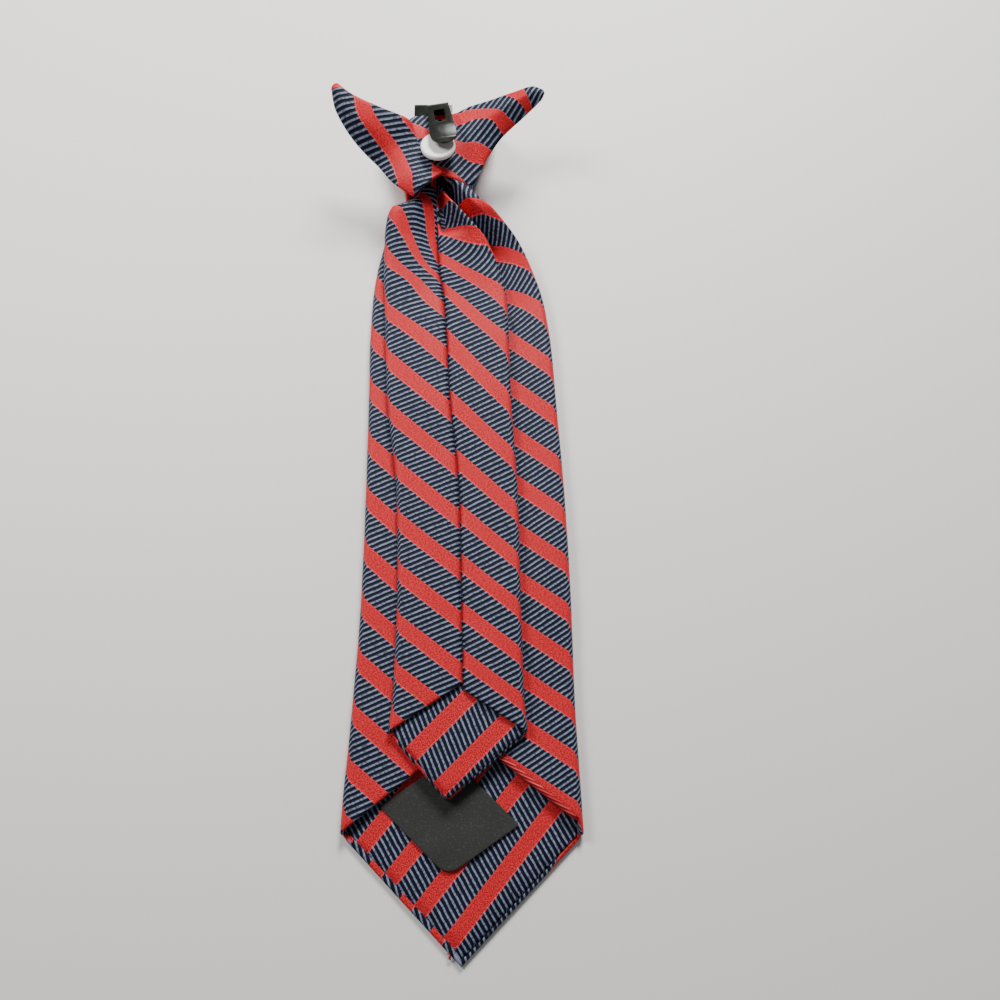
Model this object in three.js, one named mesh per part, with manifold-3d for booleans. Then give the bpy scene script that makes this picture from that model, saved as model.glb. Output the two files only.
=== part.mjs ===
// A pre-tied clip-on necktie of striped cloth, lying on its front with its back up.
// Millimetres, X to the right, Y from the pointed tip to the knot, Z up from the table.
import * as THREE from "three";
import Module from "manifold-3d";

const wasm = await Module();
wasm.setup();

// Cloth and the room between its layers
const CLOTH = 1.1;
const GAP = 0.3;

// Front blade
const BLADE_WIDTH = 72;
const BLADE_THICKNESS = 5.2;
const BLADE_LENGTH = 234.5;
const NECK_TUCK = 25;
const TIP_SHIFT = -1.5;
const FLAP_RISE = 38;
const FLAP_PARTING = 3;
const HEM_LEFT = 2.6;
const HEM_RIGHT = 1.2;

// Tail blade, which lies on the back of the front blade
const TAIL_WIDTH = 41.6;
const TAIL_THICKNESS = 4;
const TAIL_TIP = 45.6;
const TAIL_TIP_SHIFT = -3.1;
const TAIL_CENTRE = -1.3;
const TAIL_CORNER_RISE = 20;
const TAIL_FLAP_RISE = 33;
const TAIL_DROOP = 1.2;
const TAIL_DROOP_REACH = 8;

// Folds of the cloth where it is gathered into the knot
const NECK_SWELL = 1.1;
const PUFF_RISE = 2.2;
const DIMPLE_DEPTH = 1.2;
const CREST_RISE = 5;

// Linings and label
const TIPPING = 1;
const TIPPING_LENGTH = 78;
const TIPPING_SIDE = 3;
const TAIL_TIPPING_LENGTH = 40;
const TAIL_TIPPING_SIDE = 2.6;
const TAIL_HEM = 1;
const LABEL_WIDTH = 28;
const LABEL_HEIGHT = 27;
const LABEL_THICKNESS = 0.8;
const LABEL_CORNER = 2.5;
const LABEL_TURN = 33.5;
const LABEL_SHIFT = -8.4;
const LABEL_RISE = 24.9;

// Knot, a cloth sleeve round the gathered neck
const KNOT_X = -8.3;
const KNOT_LENGTH = 32;
const KNOT_BOTTOM_WIDTH = 24;
const KNOT_TOP_WIDTH = 36;
const KNOT_DEPTH = 15.5;
const KNOT_WALL = 1.5;
const KNOT_MOUTH_SLANT = 8;
const KNOT_TOP_SLANT = 4.5;
const KNOT_CORNER = 5;

// Wings that go under the shirt collar
const WING_REACH = 34.5;
const WING_LIFT = 10;
const WING_ROOT_THICKNESS = 1.4;
const WING_TIP_THICKNESS = 2.6;

// Spring clip of one bent steel strip, and its pad
const STEEL = 0.7;
const PLATE_WIDTH = 12.5;
const PLATE_DEPTH = 18;
const PLATE_PROUD = 0.8;
const PLATE_SHIFT = -1.9;
const HOOK_WIDTH = 7;
const HOOK_END_WIDTH = 8.6;
const HOOK_LENGTH = 18.4;
const HOOK_SHIFT = -0.5;
const HOOK_INSET = 3.3;
const HOOK_TURN = 9.5;
const BEND_HEIGHT = 5.4;
const KINK = 9;
const HOOK_LIP = 1.1;
const LIP_LENGTH = 2.2;
const WINDOW_WIDTH = 3.5;
const WINDOW_LENGTH = 6;
const WINDOW_INSET = 1;
const PAD_DIAMETER = 11.2;
const PAD_THICKNESS = 2;
const PAD_SHIFT = -0.4;
const PAD_RISE = 13.7;
const COLLAR_THROAT = 2.3;

// Rings and points of the faceted cloth
const FLAP_STEPS = 7;
const ROLL_STEPS = 5;
const FRONT_STEPS = 6;

const HALF_BLADE = BLADE_WIDTH / 2;
const HALF_TAIL = TAIL_WIDTH / 2;
const CORNER = HALF_BLADE;
const TAIL_CORNER = TAIL_TIP + TAIL_CORNER_RISE;
const NECK_RISE = KNOT_WALL + GAP;
const KNOT_START = BLADE_LENGTH;
const KNOT_END = KNOT_START + KNOT_LENGTH;
const NECK_END = KNOT_START + NECK_TUCK;
const { degToRad, lerp, smoothstep } = THREE.MathUtils;

// Tables are written as rows under the names of their columns.
function table(columns, rows) {
  return rows.map((row) => Object.fromEntries(columns.map((name, i) => [name, row[i]])));
}

// Sections from the blade's corners to its hidden end in the knot, whose mouth is at 1 along. The blade's
// edges are shares of half its width, the tail's edges and seam are shares of half the tail's width, and
// the other columns are shares of the sizes they are named for.
const SECTIONS = table(
  ["along", "left", "right", "tailLeft", "tailRight", "seam", "rise", "swell", "puff", "crest", "lap"],
  [
    [0.000, -1.000, 1.000, -1.063, 0.938, 0.000, 0.00, 0.00, 0.00, 0.00, 0.0],
    [0.051, -0.986, 0.985, -1.063, 0.938, 0.000, 0.00, 0.00, 0.00, 0.00, 0.0],
    [0.147, -0.945, 0.955, -1.063, 0.938, 0.000, 0.00, 0.00, 0.00, 0.00, 0.0],
    [0.196, -0.928, 0.942, -1.010, 0.890, 0.000, 0.00, 0.00, 0.00, 0.00, 0.0],
    [0.347, -0.883, 0.922, -0.971, 0.846, -0.030, 0.00, 0.00, 0.00, 0.00, 1.0],
    [0.509, -0.867, 0.881, -1.010, 0.808, -0.075, 0.00, 0.00, 0.00, 0.00, 1.0],
    [0.675, -0.864, 0.814, -1.190, 0.707, -0.236, 0.00, 0.00, 0.00, 0.00, 1.0],
    [0.761, -0.867, 0.778, -1.235, 0.680, -0.285, 0.00, 0.00, 0.00, 0.02, 1.0],
    [0.841, -0.853, 0.711, -1.265, 0.645, -0.345, 0.00, 0.00, 0.05, 0.10, 1.0],
    [0.892, -0.822, 0.622, -1.285, 0.520, -0.420, 0.03, 0.10, 0.25, 0.28, 1.0],
    [0.940, -0.760, 0.495, -1.280, 0.330, -0.447, 0.20, 0.40, 0.62, 0.62, 0.6],
    [0.972, -0.725, 0.340, -1.245, 0.030, -0.445, 0.65, 0.80, 0.92, 0.90, 0.2],
    [0.990, -0.680, 0.231, -1.165, -0.140, -0.445, 1.00, 1.00, 1.00, 1.00, 0.0],
    [1.003, -0.470, 0.080, -0.830, -0.250, -0.457, 1.00, 1.00, 0.55, 1.00, 0.0],
    [1.027, -0.420, 0.022, -0.720, -0.280, -0.466, 1.00, 1.00, 0.00, 1.00, 0.0],
    [1.200, -0.420, 0.022, -0.720, -0.280, -0.466, 1.00, 1.00, 0.00, 1.00, 0.0],
  ],
);

// Wing outlines from the tip to the root under the knot's back, as shares of the wing's reach from the
// knot's middle, of the knot's length and of the wing's lift. Outer is the side towards the blade.
const WING_COLUMNS = ["outerX", "outerY", "innerX", "innerY", "lift", "drop"];
const LEFT_WING = table(WING_COLUMNS, [
  [-0.985, 0.950, -0.930, 0.985, 1.00, 0.00],
  [-0.962, 0.769, -0.794, 0.891, 0.88, 0.00],
  [-0.858, 0.547, -0.542, 0.800, 0.64, 0.00],
  [-0.728, 0.388, -0.264, 0.709, 0.34, 0.00],
  [-0.597, 0.275, -0.200, 0.531, 0.08, 0.00],
  [-0.432, 0.088, -0.090, 0.347, 0.00, 0.10],
  [-0.246, -0.020, 0.035, 0.213, 0.00, 0.22],
]);
const RIGHT_WING = table(WING_COLUMNS, [
  [0.955, 0.870, 0.982, 0.931, 1.00, 0.00],
  [0.907, 0.828, 0.843, 1.006, 0.87, 0.00],
  [0.751, 0.688, 0.658, 0.997, 0.60, 0.00],
  [0.594, 0.550, 0.481, 0.975, 0.36, 0.00],
  [0.452, 0.403, 0.281, 0.950, 0.15, 0.00],
  [0.304, 0.225, 0.100, 0.895, 0.00, 0.00],
  [0.050, 0.244, -0.240, 0.870, 0.00, 0.00],
  [-0.240, 0.270, -0.360, 0.740, 0.00, 0.00],
]);

// Reads a table's columns at a place between its rows, on a curve that doesn't swing past them.
function readTable(rows, key, at) {
  const last = rows.length - 1;
  const place = (i) => rows[i][key];
  let i = 0;
  while (i < last - 1 && at > place(i + 1)) i += 1;
  const step = place(i + 1) - place(i);
  const t = THREE.MathUtils.clamp((at - place(i)) / step, 0, 1);
  const row = {};
  for (const name of Object.keys(rows[i])) {
    const slope = (a, b) => (rows[b][name] - rows[a][name]) / (place(b) - place(a));
    const bend = (j) => {
      if (j === 0) return slope(0, 1);
      if (j === last) return slope(last - 1, last);
      const [before, after] = [slope(j - 1, j), slope(j, j + 1)];
      return before * after <= 0 ? 0 : (2 * before * after) / (before + after);
    };
    const [t2, t3] = [t * t, t * t * t];
    row[name] =
      (2 * t3 - 3 * t2 + 1) * rows[i][name] +
      (t3 - 2 * t2 + t) * bend(i) * step +
      (3 * t2 - 2 * t3) * rows[i + 1][name] +
      (t3 - t2) * bend(i + 1) * step;
  }
  return row;
}

// The tie's section at a distance from the tip, in millimetres.
function sectionAt(y) {
  const row = readTable(SECTIONS, "along", (y - CORNER) / (BLADE_LENGTH - CORNER));
  return {
    y,
    left: row.left * HALF_BLADE,
    right: row.right * HALF_BLADE,
    tailLeft: row.tailLeft * HALF_TAIL,
    tailRight: row.tailRight * HALF_TAIL,
    seam: row.seam * HALF_TAIL,
    rise: row.rise * NECK_RISE,
    swell: row.swell * NECK_SWELL,
    puff: row.puff * PUFF_RISE,
    dimple: row.puff * DIMPLE_DEPTH,
    crest: row.crest * CREST_RISE,
    ridge: (row.puff * CREST_RISE) / 2,
    lap: row.lap * (CLOTH + GAP),
  };
}

// A folded band of cloth across the tie: two flaps on top that roll over the sides into the front layer.
// It gives the points of one face of the cloth, from the left flap's edge round to the right flap's edge.
function foldedBand(band, inset) {
  const { y, left, right, base, leftEnd, rightEnd, leftTop, rightTop, roll } = band;
  const points = [];
  const add = (x, z) => points.push(new THREE.Vector3(x, y, z));
  const [low, leftTurn, rightTurn] = [base + inset, left + roll, right - roll];
  for (let i = 0; i < FLAP_STEPS; i += 1) {
    const x = lerp(leftEnd, leftTurn, i / FLAP_STEPS);
    add(x, leftTop(x) - inset);
  }
  const turn = (centre, side, top) => (angle) => {
    const middle = (top + low) / 2;
    add(centre + side * (roll - inset) * Math.sin(angle), middle + ((top - low) / 2) * Math.cos(angle));
  };
  const leftRoll = turn(leftTurn, -1, leftTop(leftTurn) - inset);
  for (let i = 0; i < ROLL_STEPS; i += 1) leftRoll((Math.PI * i) / ROLL_STEPS);
  for (let i = 0; i < FRONT_STEPS; i += 1) add(lerp(leftTurn, rightTurn, i / FRONT_STEPS), low);
  const rightRoll = turn(rightTurn, 1, rightTop(rightTurn) - inset);
  for (let i = ROLL_STEPS; i > 0; i -= 1) rightRoll((Math.PI * i) / ROLL_STEPS);
  for (let i = 0; i <= FLAP_STEPS; i += 1) {
    const x = lerp(rightTurn, rightEnd, i / FLAP_STEPS);
    add(x, rightTop(x) - inset);
  }
  return points;
}

// A closed solid from rings of points, each ring going the same way round.
function loft(rings) {
  const count = rings[0].length;
  const vertices = rings.flat().flatMap((point) => [point.x, point.y, point.z]);
  const triangles = [];
  const quad = (a, b, c, d) => triangles.push(a, b, c, a, c, d);
  for (let j = 0; j + 1 < rings.length; j += 1) {
    for (let i = 0; i < count; i += 1) {
      const next = (i + 1) % count;
      quad(j * count + i, j * count + next, (j + 1) * count + next, (j + 1) * count + i);
    }
  }
  const end = (rings.length - 1) * count;
  for (let i = 0; i < count / 2 - 1; i += 1) {
    const [a, b, c, d] = [i, i + 1, count - 2 - i, count - 1 - i];
    quad(a, d, c, b);
    quad(end + a, end + b, end + c, end + d);
  }
  return solidOf(vertices, triangles);
}

function solidOf(vertices, triangles) {
  const mesh = new wasm.Mesh({
    numProp: 3,
    vertProperties: new Float32Array(vertices),
    triVerts: new Uint32Array(triangles),
  });
  mesh.merge();
  const solid = new wasm.Manifold(mesh);
  if (solid.volume() > 0) return solid;
  const turned = [];
  for (let i = 0; i < triangles.length; i += 3) {
    turned.push(triangles[i], triangles[i + 2], triangles[i + 1]);
  }
  return solidOf(vertices, turned);
}

// An outline on the table drawn up from one height to another.
function prism(outline, bottom, top) {
  const geometry = new THREE.ExtrudeGeometry(outline, { depth: top - bottom, bevelEnabled: false });
  geometry.translate(0, 0, bottom);
  return solidFrom(geometry);
}

function solidFrom(geometry) {
  const position = geometry.getAttribute("position");
  const index = geometry.getIndex();
  const seen = new Map();
  const vertices = [];
  const place = (i) => {
    const point = [position.getX(i), position.getY(i), position.getZ(i)].map(Math.fround);
    const key = point.map((value) => value.toFixed(4)).join();
    if (!seen.has(key)) {
      seen.set(key, vertices.length / 3);
      vertices.push(...point);
    }
    return seen.get(key);
  };
  const count = index ? index.count : position.count;
  const triangles = [];
  for (let i = 0; i < count; i += 3) {
    const corners = [0, 1, 2].map((j) => place(index ? index.getX(i + j) : i + j));
    if (new Set(corners).size === 3) triangles.push(...corners);
  }
  return solidOf(vertices, triangles);
}

function shapeOf(points) {
  return new THREE.Shape(points.map(([x, y]) => new THREE.Vector2(x, y)));
}

// A line through two points moved to its left by a distance, and where two such lines cross.
function movedLine([ax, ay], [bx, by], distance) {
  const length = Math.hypot(bx - ax, by - ay);
  const shift = [(-(by - ay) * distance) / length, ((bx - ax) * distance) / length];
  return { x: ax + shift[0], y: ay + shift[1], dx: (bx - ax) / length, dy: (by - ay) / length };
}

function crossing(a, b) {
  const across = a.dx * b.dy - a.dy * b.dx;
  const t = ((b.x - a.x) * b.dy - (b.y - a.y) * b.dx) / across;
  return [a.x + a.dx * t, a.y + a.dy * t];
}

// A pointed end: the tip, the two corners and the edges between them.
function pointedEnd(tip, leftCorner, rightCorner) {
  const edges = (leftIn, rightIn) => [
    movedLine(leftCorner, tip, leftIn),
    movedLine(tip, rightCorner, rightIn),
  ];
  return { tip, leftCorner, rightCorner, edges };
}

const bladeEnd = pointedEnd([TIP_SHIFT, 0], [-HALF_BLADE, CORNER], [HALF_BLADE, CORNER]);
const tailEnd = pointedEnd(
  [TAIL_CENTRE + TAIL_TIP_SHIFT, TAIL_TIP],
  [TAIL_CENTRE - HALF_TAIL, TAIL_CORNER],
  [TAIL_CENTRE + HALF_TAIL, TAIL_CORNER],
);

// What a pointed end cuts away outside its two edges.
function outsideOfEnd(end, reach) {
  const [left, right] = end.edges(0, 0);
  const far = 2 * reach;
  const [tx, ty] = end.tip;
  const leftFar = [left.x - left.dx * far, left.y - left.dy * far];
  const rightFar = [right.x + right.dx * far, right.y + right.dy * far];
  const outline = shapeOf([leftFar, [tx, ty], rightFar, [tx + far, ty - far], [tx - far, ty - far]]);
  return prism(outline, -reach, reach);
}

// The open triangle below two flaps whose lower edges rise from the corners to the seam.
function openBelowFlaps(end, rise, bottom, reach) {
  const slope = Math.tan(degToRad(rise));
  const middle = (end.leftCorner[0] + end.rightCorner[0]) / 2;
  const half = (end.rightCorner[0] - end.leftCorner[0]) / 2;
  const corner = end.leftCorner[1];
  const side = half + reach;
  const outline = shapeOf([
    [middle - side, corner - reach * slope],
    [middle - side, end.tip[1] - reach],
    [middle + side, end.tip[1] - reach],
    [middle + side, corner - reach * slope],
    [middle, corner + half * slope],
  ]);
  return prism(outline, bottom, bottom + reach);
}

// The turned hem along a pointed end, two layers of cloth thick.
function hem(end, leftWidth, rightWidth, base) {
  const [left, right] = end.edges(0, 0);
  const [innerLeft, innerRight] = end.edges(leftWidth, rightWidth);
  const top = end.leftCorner[1];
  const level = { x: 0, y: top, dx: 1, dy: 0 };
  const outline = shapeOf([
    crossing(left, level),
    end.tip,
    crossing(right, level),
    crossing(innerRight, level),
    crossing(innerLeft, innerRight),
    crossing(innerLeft, level),
  ]);
  return prism(outline, base, base + 2 * CLOTH);
}

// A lining that fills a pointed end inside its hem and runs up under the flaps.
function lining(end, leftIn, rightIn, edgesAt, length, base) {
  const [left, right] = end.edges(leftIn + GAP, rightIn + GAP);
  const top = end.tip[1] + length;
  const [lower, upper] = [edgesAt(end.leftCorner[1]), edgesAt(top)];
  const topLeft = [upper.left, top];
  const topRight = [upper.right, top];
  const leftSide = movedLine([lower.left, end.leftCorner[1]], topLeft, 0);
  const rightSide = movedLine([lower.right, end.rightCorner[1]], topRight, 0);
  const outline = shapeOf([
    crossing(left, leftSide),
    crossing(left, right),
    crossing(right, rightSide),
    topRight,
    topLeft,
  ]);
  return prism(outline, base, base + TIPPING);
}

function steps(from, to, count) {
  return Array.from({ length: count + 1 }, (_, i) => lerp(from, to, i / count));
}

// The stations of the rings: close together where the neck is gathered, wide apart on the straight blade.
const GATHER_START = lerp(CORNER, BLADE_LENGTH, 0.8);
const bladeStations = [
  ...steps(0, CORNER, 2),
  ...steps(CORNER, GATHER_START, 9).slice(1),
  ...steps(GATHER_START, NECK_END, 20).slice(1),
];

function bladeBand(y) {
  const s = sectionAt(y);
  const top = s.rise + BLADE_THICKNESS + s.swell;
  const roll = BLADE_THICKNESS / 2;
  const start = s.tailRight + GAP + CLOTH;
  const middle = lerp(s.tailLeft, s.tailRight, 0.5);
  return {
    y,
    left: s.left,
    right: s.right,
    base: s.rise,
    roll,
    leftEnd: middle - FLAP_PARTING / 2,
    rightEnd: middle + FLAP_PARTING / 2,
    leftTop: () => top,
    rightTop: (x) => top + s.crest * smoothstep(x, start, s.right - roll),
  };
}

function ringOf(band) {
  return [...foldedBand(band, 0), ...foldedBand(band, CLOTH).reverse()];
}

function bladeShell() {
  const body = loft(bladeStations.map((y) => ringOf(bladeBand(y))));
  return body
    .subtract(openBelowFlaps(bladeEnd, FLAP_RISE, CLOTH, NECK_END))
    .subtract(outsideOfEnd(bladeEnd, NECK_END))
    .add(hem(bladeEnd, HEM_LEFT, HEM_RIGHT, 0));
}

// The height of the tail's front layer, on the blade's flaps and drooping a little past them.
function tailBase(y) {
  const droop = TAIL_DROOP * (1 - smoothstep(y, TAIL_TIP, TAIL_TIP + TAIL_DROOP_REACH));
  const s = sectionAt(y);
  return s.rise + BLADE_THICKNESS + s.swell + GAP - droop;
}

function tailBand(y) {
  const s = sectionAt(y);
  const base = tailBase(y);
  const top = base + TAIL_THICKNESS + s.swell;
  const roll = TAIL_THICKNESS / 2;
  const lapWidth = 2 * TAIL_THICKNESS;
  const onLeft = (x) => THREE.MathUtils.clamp((s.seam - x) / (s.seam - s.tailLeft), 0, 1);
  const onRight = (x) => THREE.MathUtils.clamp((x - s.seam) / (s.tailRight - s.seam), 0, 1);
  return {
    y,
    left: s.tailLeft,
    right: s.tailRight,
    base,
    roll,
    leftEnd: s.seam + (s.lap > 0.5 * CLOTH ? CLOTH : -GAP / 2),
    rightEnd: s.seam + GAP / 2,
    leftTop: (x) =>
      top +
      s.puff * Math.sin(Math.PI * onLeft(x)) -
      (s.dimple + s.lap) * (1 - smoothstep(s.seam - x, 0, lapWidth)),
    rightTop: (x) =>
      top +
      s.ridge * smoothstep(onRight(x), 0, 0.85) -
      s.dimple * (1 - smoothstep(x - s.seam, 0, lapWidth / 2)),
  };
}

function tailShell() {
  const stations = [TAIL_TIP, TAIL_TIP + TAIL_DROOP_REACH / 2, TAIL_TIP + TAIL_DROOP_REACH, TAIL_CORNER];
  const upper = bladeStations.filter((y) => y > TAIL_CORNER + 1);
  const body = loft([...stations, ...upper].map((y) => ringOf(tailBand(y))));
  return body
    .subtract(openBelowFlaps(tailEnd, TAIL_FLAP_RISE, tailBase(TAIL_CORNER) + CLOTH, NECK_END))
    .subtract(outsideOfEnd(tailEnd, NECK_END));
}

function bladeTipping() {
  const edgesAt = (y) => {
    const s = sectionAt(y);
    return { left: s.left + TIPPING_SIDE, right: s.right - TIPPING_SIDE };
  };
  return lining(bladeEnd, HEM_LEFT, HEM_RIGHT, edgesAt, TIPPING_LENGTH, CLOTH + GAP);
}

function tailTipping() {
  const edgesAt = (y) => {
    const s = sectionAt(y);
    return { left: s.tailLeft + TAIL_TIPPING_SIDE, right: s.tailRight - TAIL_TIPPING_SIDE };
  };
  const base = tailBase(TAIL_CORNER) + CLOTH + GAP;
  return lining(tailEnd, TAIL_HEM, TAIL_HEM, edgesAt, TAIL_TIPPING_LENGTH, base);
}

// A care label with round corners, left bare, that tucks under the tail and the left flap.
function careLabel() {
  const r = LABEL_CORNER;
  const outline = new THREE.Shape();
  outline.moveTo(r, 0);
  outline.lineTo(LABEL_WIDTH - r, 0);
  outline.absarc(LABEL_WIDTH - r, r, r, -Math.PI / 2, 0);
  outline.lineTo(LABEL_WIDTH, LABEL_HEIGHT - r);
  outline.absarc(LABEL_WIDTH - r, LABEL_HEIGHT - r, r, 0, Math.PI / 2);
  outline.lineTo(r, LABEL_HEIGHT);
  outline.absarc(r, LABEL_HEIGHT - r, r, Math.PI / 2, Math.PI);
  outline.lineTo(0, r);
  outline.absarc(r, r, r, Math.PI, 1.5 * Math.PI);
  const base = CLOTH + 2 * GAP + TIPPING;
  const geometry = new THREE.ExtrudeGeometry(outline, {
    depth: LABEL_THICKNESS,
    bevelEnabled: false,
    curveSegments: 6,
  });
  geometry.rotateZ(degToRad(LABEL_TURN));
  geometry.translate(LABEL_SHIFT, LABEL_RISE, base);
  return solidFrom(geometry);
}

// A rounded ring of the knot, flat on the table, at a distance from the blade's side of the knot.
function knotRing(y, halfWidth, depth, inset) {
  const corner = KNOT_CORNER - inset;
  const [left, right] = [KNOT_X - halfWidth + inset, KNOT_X + halfWidth - inset];
  const [low, high] = [inset, depth - inset];
  const corners = [
    [right - corner, low + corner, -90],
    [right - corner, high - corner, 0],
    [left + corner, high - corner, 90],
    [left + corner, low + corner, 180],
  ];
  const points = [];
  for (const [x, z, start] of corners) {
    for (const turn of steps(0, 90, 4)) {
      const angle = degToRad(start + turn);
      points.push(new THREE.Vector3(x + corner * Math.cos(angle), y, z + corner * Math.sin(angle)));
    }
  }
  return points;
}

function knotBody(inset) {
  const width = (y) => {
    const share = (y - KNOT_START) / KNOT_LENGTH;
    return lerp(KNOT_BOTTOM_WIDTH, KNOT_TOP_WIDTH, share) / 2;
  };
  const rounding = KNOT_WALL;
  const rings = [
    knotRing(KNOT_START - inset, width(KNOT_START), KNOT_DEPTH, inset),
    knotRing(KNOT_END - rounding - inset, width(KNOT_END), KNOT_DEPTH, inset),
  ];
  if (inset === 0) {
    const halfWidth = width(KNOT_END) - rounding / 2;
    rings.push(knotRing(KNOT_END, halfWidth, KNOT_DEPTH - rounding / 2, rounding / 2));
  }
  return loft(rings);
}

// Turns a side profile, drawn as length and height, so that its depth runs along X from a start.
function acrossFrom(x) {
  return new THREE.Matrix4().set(0, 0, 1, x, 1, 0, 0, 0, 0, 1, 0, 0, 0, 0, 0, 1);
}

// A wedge across the knot on one side of a line that leans by a slant from the front to the back.
function acrossKnot(start, slant, side) {
  const reach = 2 * KNOT_TOP_WIDTH;
  const lean = slant / KNOT_DEPTH;
  const profile = shapeOf([
    [start + side * reach, -reach],
    [start - lean * reach, -reach],
    [start + lean * reach, reach],
    [start + side * reach, reach],
  ]);
  const geometry = new THREE.ExtrudeGeometry(profile, { depth: 2 * reach, bevelEnabled: false });
  return solidFrom(geometry.applyMatrix4(acrossFrom(KNOT_X - reach)));
}

// The knot's sleeve. Its mouth starts further up at the back than in front, and its closed top ends
// further down there.
function knotWrap() {
  const outside = knotBody(0).subtract(acrossKnot(KNOT_END, -KNOT_TOP_SLANT, 1));
  const inside = knotBody(KNOT_WALL).subtract(acrossKnot(KNOT_END - KNOT_WALL, -KNOT_TOP_SLANT, 1));
  return outside.subtract(inside).subtract(acrossKnot(KNOT_START, KNOT_MOUTH_SLANT, -1));
}

const RIGHT_ROOT = KNOT_DEPTH + STEEL + 2 * GAP;
const LEFT_ROOT = RIGHT_ROOT + WING_ROOT_THICKNESS + GAP;

// A wing of folded cloth, a flat strip with rounded sides that thickens and narrows to its tip.
function wing(rows, root) {
  const rings = [];
  const numbered = rows.map((row, i) => ({ ...row, order: i }));
  for (const order of steps(0, rows.length - 1, 2 * (rows.length - 1))) {
    const row = readTable(numbered, "order", order);
    const outer = [KNOT_X + row.outerX * WING_REACH, KNOT_START + row.outerY * KNOT_LENGTH];
    const inner = [KNOT_X + row.innerX * WING_REACH, KNOT_START + row.innerY * KNOT_LENGTH];
    const lift = Math.max(row.lift, 0) * WING_LIFT;
    const drop = Math.max(row.drop, 0) * WING_LIFT;
    const thickness = lerp(WING_ROOT_THICKNESS, WING_TIP_THICKNESS, THREE.MathUtils.clamp(row.lift, 0, 1));
    const crown = [0.25, 0.8, 1, 1, 0.8, 0.25];
    const across = [0, 0.08, 0.32, 0.68, 0.92, 1];
    const place = (i, side) => {
      const share = across[i];
      const middle = root + lift - drop * (1 - share) ** 2 + thickness / 2;
      return new THREE.Vector3(
        lerp(outer[0], inner[0], share),
        lerp(outer[1], inner[1], share),
        middle + (side * crown[i] * thickness) / 2,
      );
    };
    const upper = across.map((_, i) => place(i, 1));
    const lower = across.map((_, i) => place(i, -1)).reverse();
    rings.push([...upper, ...lower]);
  }
  return loft(rings);
}

const PAD_BASE = LEFT_ROOT + WING_ROOT_THICKNESS + GAP;
const PAD_TOP = PAD_BASE + PAD_THICKNESS;
const HOOK_UNDERSIDE = PAD_TOP + COLLAR_THROAT;
const PLATE_BASE = KNOT_DEPTH + GAP;

function clipPad() {
  const radius = PAD_DIAMETER / 2;
  const bevel = PAD_THICKNESS / 4;
  const profile = [
    new THREE.Vector2(0, 0),
    new THREE.Vector2(radius - bevel, 0),
    new THREE.Vector2(radius, bevel),
    new THREE.Vector2(radius, PAD_THICKNESS - bevel),
    new THREE.Vector2(radius - bevel, PAD_THICKNESS),
    new THREE.Vector2(0, PAD_THICKNESS),
  ];
  const geometry = new THREE.LatheGeometry(profile, 32);
  geometry.rotateX(Math.PI / 2);
  geometry.translate(KNOT_X + PAD_SHIFT, KNOT_START + PAD_RISE, PAD_BASE);
  return solidFrom(geometry);
}

// A line of even thickness along points, drawn as an outline.
function ribbon(points, thickness) {
  const side = (sign) =>
    points.map(([x, y], i) => {
      const [ax, ay] = points[Math.max(i - 1, 0)];
      const [bx, by] = points[Math.min(i + 1, points.length - 1)];
      const reach = (sign * thickness) / 2 / Math.hypot(bx - ax, by - ay);
      return [x - (by - ay) * reach, y + (bx - ax) * reach];
    });
  return shapeOf([...side(1), ...side(-1).reverse()]);
}

// The hook seen from the side, from the plate round a tight bend, up to the kink, level over the pad and
// up again at the lip. Lengths run along Y from the bend's middle, heights up from the table.
function hookProfile() {
  const low = PLATE_BASE + STEEL / 2;
  const top = HOOK_UNDERSIDE + STEEL / 2;
  const radius = (BEND_HEIGHT - STEEL) / 2;
  const reach = BEND_HEIGHT / 2;
  const end = reach - HOOK_LENGTH;
  const bend = steps(-90, 90, 10).map((turn) => {
    const angle = degToRad(turn);
    return [radius * Math.cos(angle), low + radius + radius * Math.sin(angle)];
  });
  const run = [[-KINK, top], [end + LIP_LENGTH, top], [end, top + HOOK_LIP]];
  return ribbon([[-STEEL, low], ...bend, ...run], STEEL);
}

// The hook's outline from above, wider towards its round end, with the window behind the bend.
function hookOutline() {
  const [half, endHalf] = [HOOK_WIDTH / 2, HOOK_END_WIDTH / 2];
  const end = BEND_HEIGHT / 2 - HOOK_LENGTH;
  const outline = new THREE.Shape();
  outline.moveTo(-half, HOOK_LENGTH);
  outline.lineTo(-half, 0);
  outline.lineTo(-endHalf, end + endHalf);
  outline.absellipse(0, end + endHalf, endHalf, endHalf, Math.PI, 2 * Math.PI, false);
  outline.lineTo(half, 0);
  outline.lineTo(half, HOOK_LENGTH);
  const side = WINDOW_WIDTH / 2;
  const windowEnd = -WINDOW_INSET - WINDOW_LENGTH + side;
  const opening = new THREE.Path();
  opening.moveTo(-side, -WINDOW_INSET);
  opening.lineTo(-side, windowEnd);
  opening.absellipse(0, windowEnd, side, side, Math.PI, 2 * Math.PI, false);
  opening.lineTo(side, -WINDOW_INSET);
  outline.holes.push(opening);
  return outline;
}

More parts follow.
